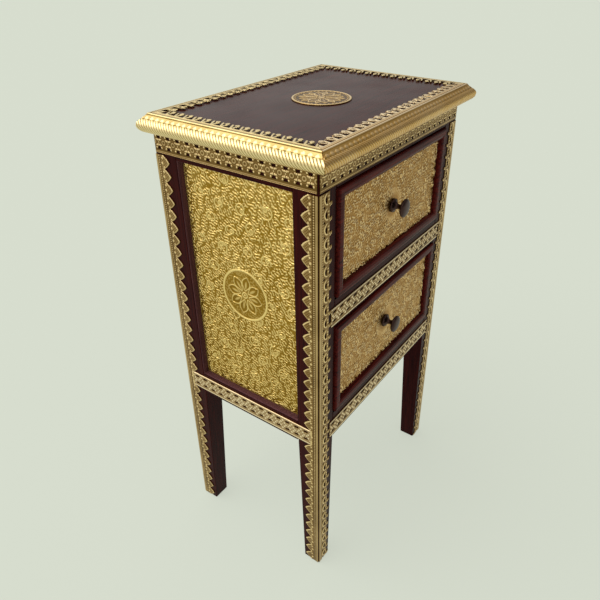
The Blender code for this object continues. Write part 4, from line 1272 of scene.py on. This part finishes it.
class CABINET_OT_stage(bpy.types.Operator):
    """Lay the pale floor and set the lamp, the sky and the camera."""

    bl_idname = "cabinet.stage"
    bl_label = "Stage"

    # the photograph's viewpoint
    EYE = (-0.5765, -0.3934, 0.7740)
    YAW = math.radians(55.3909)
    PITCH = math.radians(30.7841)
    LENS, SENSOR = 34.717, 36.0
    SHIFT = (-0.0309, -0.0330)
    FAR_CLIP = 100.0
    FLOOR_SIZE = 60.0
    # how much of the floor that is seen is flat colour, without light and shade
    FLAT_SHARE = 0.8
    # towards the brightest part of the sky, and the dimmest and brightest strength
    BRIGHT_SKY, SKY_DIM, SKY_BRIGHT = (-0.25, 0.65, 0.72), 0.26, 1.12
    # towards the lamp, its power and how broad it is
    SUN_TOWARD, SUN_POWER, SUN_BREADTH, SUN_FAR = (-0.42, 0.4, 0.82), 1.35, math.radians(60), 4.0

    def execute(self, context):
        bpy.context.scene.view_settings.view_transform = "Standard"
        self.floor()
        self.sky()
        self.sun()
        self.camera()
        return {"FINISHED"}

    def floor(self):
        """Even paper with a soft shadow: seen directly it is mostly its own flat colour."""
        bpy.ops.object.select_all(action="DESELECT")
        bpy.ops.mesh.primitive_plane_add(size=self.FLOOR_SIZE)
        floor = bpy.context.object
        floor.name = "floor"
        material, tree, shader = start_material("matt_paper_floor")
        tree.nodes.remove(shader)
        shade = rgba(colours().backdrop)
        lit = add_node(tree, "ShaderNodeBsdfDiffuse", {"Color": shade})
        flat = add_node(tree, "ShaderNodeEmission", {"Color": shade})
        rays = add_node(tree, "ShaderNodeLightPath").outputs
        seen = rays["Is Camera Ray"]
        for kind in ("Is Glossy Ray", "Is Transmission Ray"):
            seen = add_node(tree, "ShaderNodeMath", {0: seen, 1: rays[kind]}, operation="MAXIMUM").outputs[0]
        share = add_node(tree, "ShaderNodeMath", {0: seen, 1: self.FLAT_SHARE}, operation="MULTIPLY")
        both = add_node(tree, "ShaderNodeMixShader",
                        {0: share.outputs[0], 1: lit.outputs[0], 2: flat.outputs[0]})
        tree.links.new(both.outputs[0], tree.nodes["Material Output"].inputs["Surface"])
        paint(floor, material)

    def sky(self):
        """A studio that is bright overhead and behind the cabinet and dim in front of it."""
        world = bpy.data.worlds.new("studio")
        world.use_nodes = True
        bpy.context.scene.world = world
        tree = world.node_tree
        look = add_node(tree, "ShaderNodeTexCoord").outputs["Generated"]
        facing = add_node(tree, "ShaderNodeVectorMath", {0: look, 1: self.BRIGHT_SKY},
                          operation="DOT_PRODUCT")
        strength = add_node(tree, "ShaderNodeMapRange",
                            {"Value": facing.outputs["Value"], "From Min": -0.3, "From Max": 1.0,
                             "To Min": self.SKY_DIM, "To Max": self.SKY_BRIGHT},
                            interpolation_type="SMOOTHSTEP")
        background = tree.nodes["Background"]
        background.inputs["Color"].default_value = rgba(colours().daylight)
        tree.links.new(strength.outputs["Result"], background.inputs["Strength"])

    def sun(self):
        """A broad, soft lamp far away."""
        x, y, z = self.SUN_TOWARD
        bpy.ops.object.light_add(type="SUN", location=[self.SUN_FAR * part for part in self.SUN_TOWARD])
        lamp = bpy.context.object
        lamp.name = "key"
        lamp.data.energy = self.SUN_POWER
        lamp.data.angle = self.SUN_BREADTH
        lamp.rotation_euler = (math.atan2(math.hypot(x, y), z), 0.0, math.atan2(x, -y))

    def camera(self):
        """The photograph's own viewpoint."""
        bpy.ops.object.camera_add(location=self.EYE)
        camera = bpy.context.object
        camera.rotation_euler = (QUARTER_TURN - self.PITCH, 0.0, -self.YAW)
        camera.data.lens = self.LENS
        camera.data.sensor_width = self.SENSOR
        camera.data.shift_x, camera.data.shift_y = self.SHIFT
        camera.data.clip_end = self.FAR_CLIP
        bpy.context.scene.camera = camera


OPERATORS = (
    CABINET_OT_stage,
    CABINET_OT_woodwork,
    CABINET_OT_top_edges,
    CABINET_OT_medallion,
    CABINET_OT_friezes,
    CABINET_OT_bands,
    CABINET_OT_leaf_strips,
    CABINET_OT_scroll_strips,
    CABINET_OT_side_sheets,
    CABINET_OT_side_beads,
    CABINET_OT_drawer_sheets,
    CABINET_OT_knobs,
)


class CABINET_PT_pieces(bpy.types.Panel):
    """Lists the cabinet's pieces and their settings."""

    bl_label = "Cabinet"
    bl_idname = "CABINET_PT_pieces"
    bl_space_type = "VIEW_3D"
    bl_region_type = "UI"
    bl_category = "Cabinet"

    def draw(self, context):
        for operator in OPERATORS:
            self.layout.operator(operator.bl_idname)
        for group in (context.scene.cabinet_sizes, context.scene.cabinet_colours):
            box = self.layout.box()
            for name in group.__annotations__:
                box.prop(group, name)


CLASSES = (CabinetSizes, CabinetColours, *OPERATORS, CABINET_PT_pieces)


def register():
    for kind in CLASSES:
        bpy.utils.register_class(kind)
    bpy.types.Scene.cabinet_sizes = PointerProperty(type=CabinetSizes)
    bpy.types.Scene.cabinet_colours = PointerProperty(type=CabinetColours)


def unregister():
    del bpy.types.Scene.cabinet_colours
    del bpy.types.Scene.cabinet_sizes
    for kind in reversed(CLASSES):
        bpy.utils.unregister_class(kind)


def main():
    register()
    for operator in OPERATORS:
        group, name = operator.bl_idname.split(".")
        getattr(getattr(bpy.ops, group), name)()


if __name__ == "__main__":
    main()
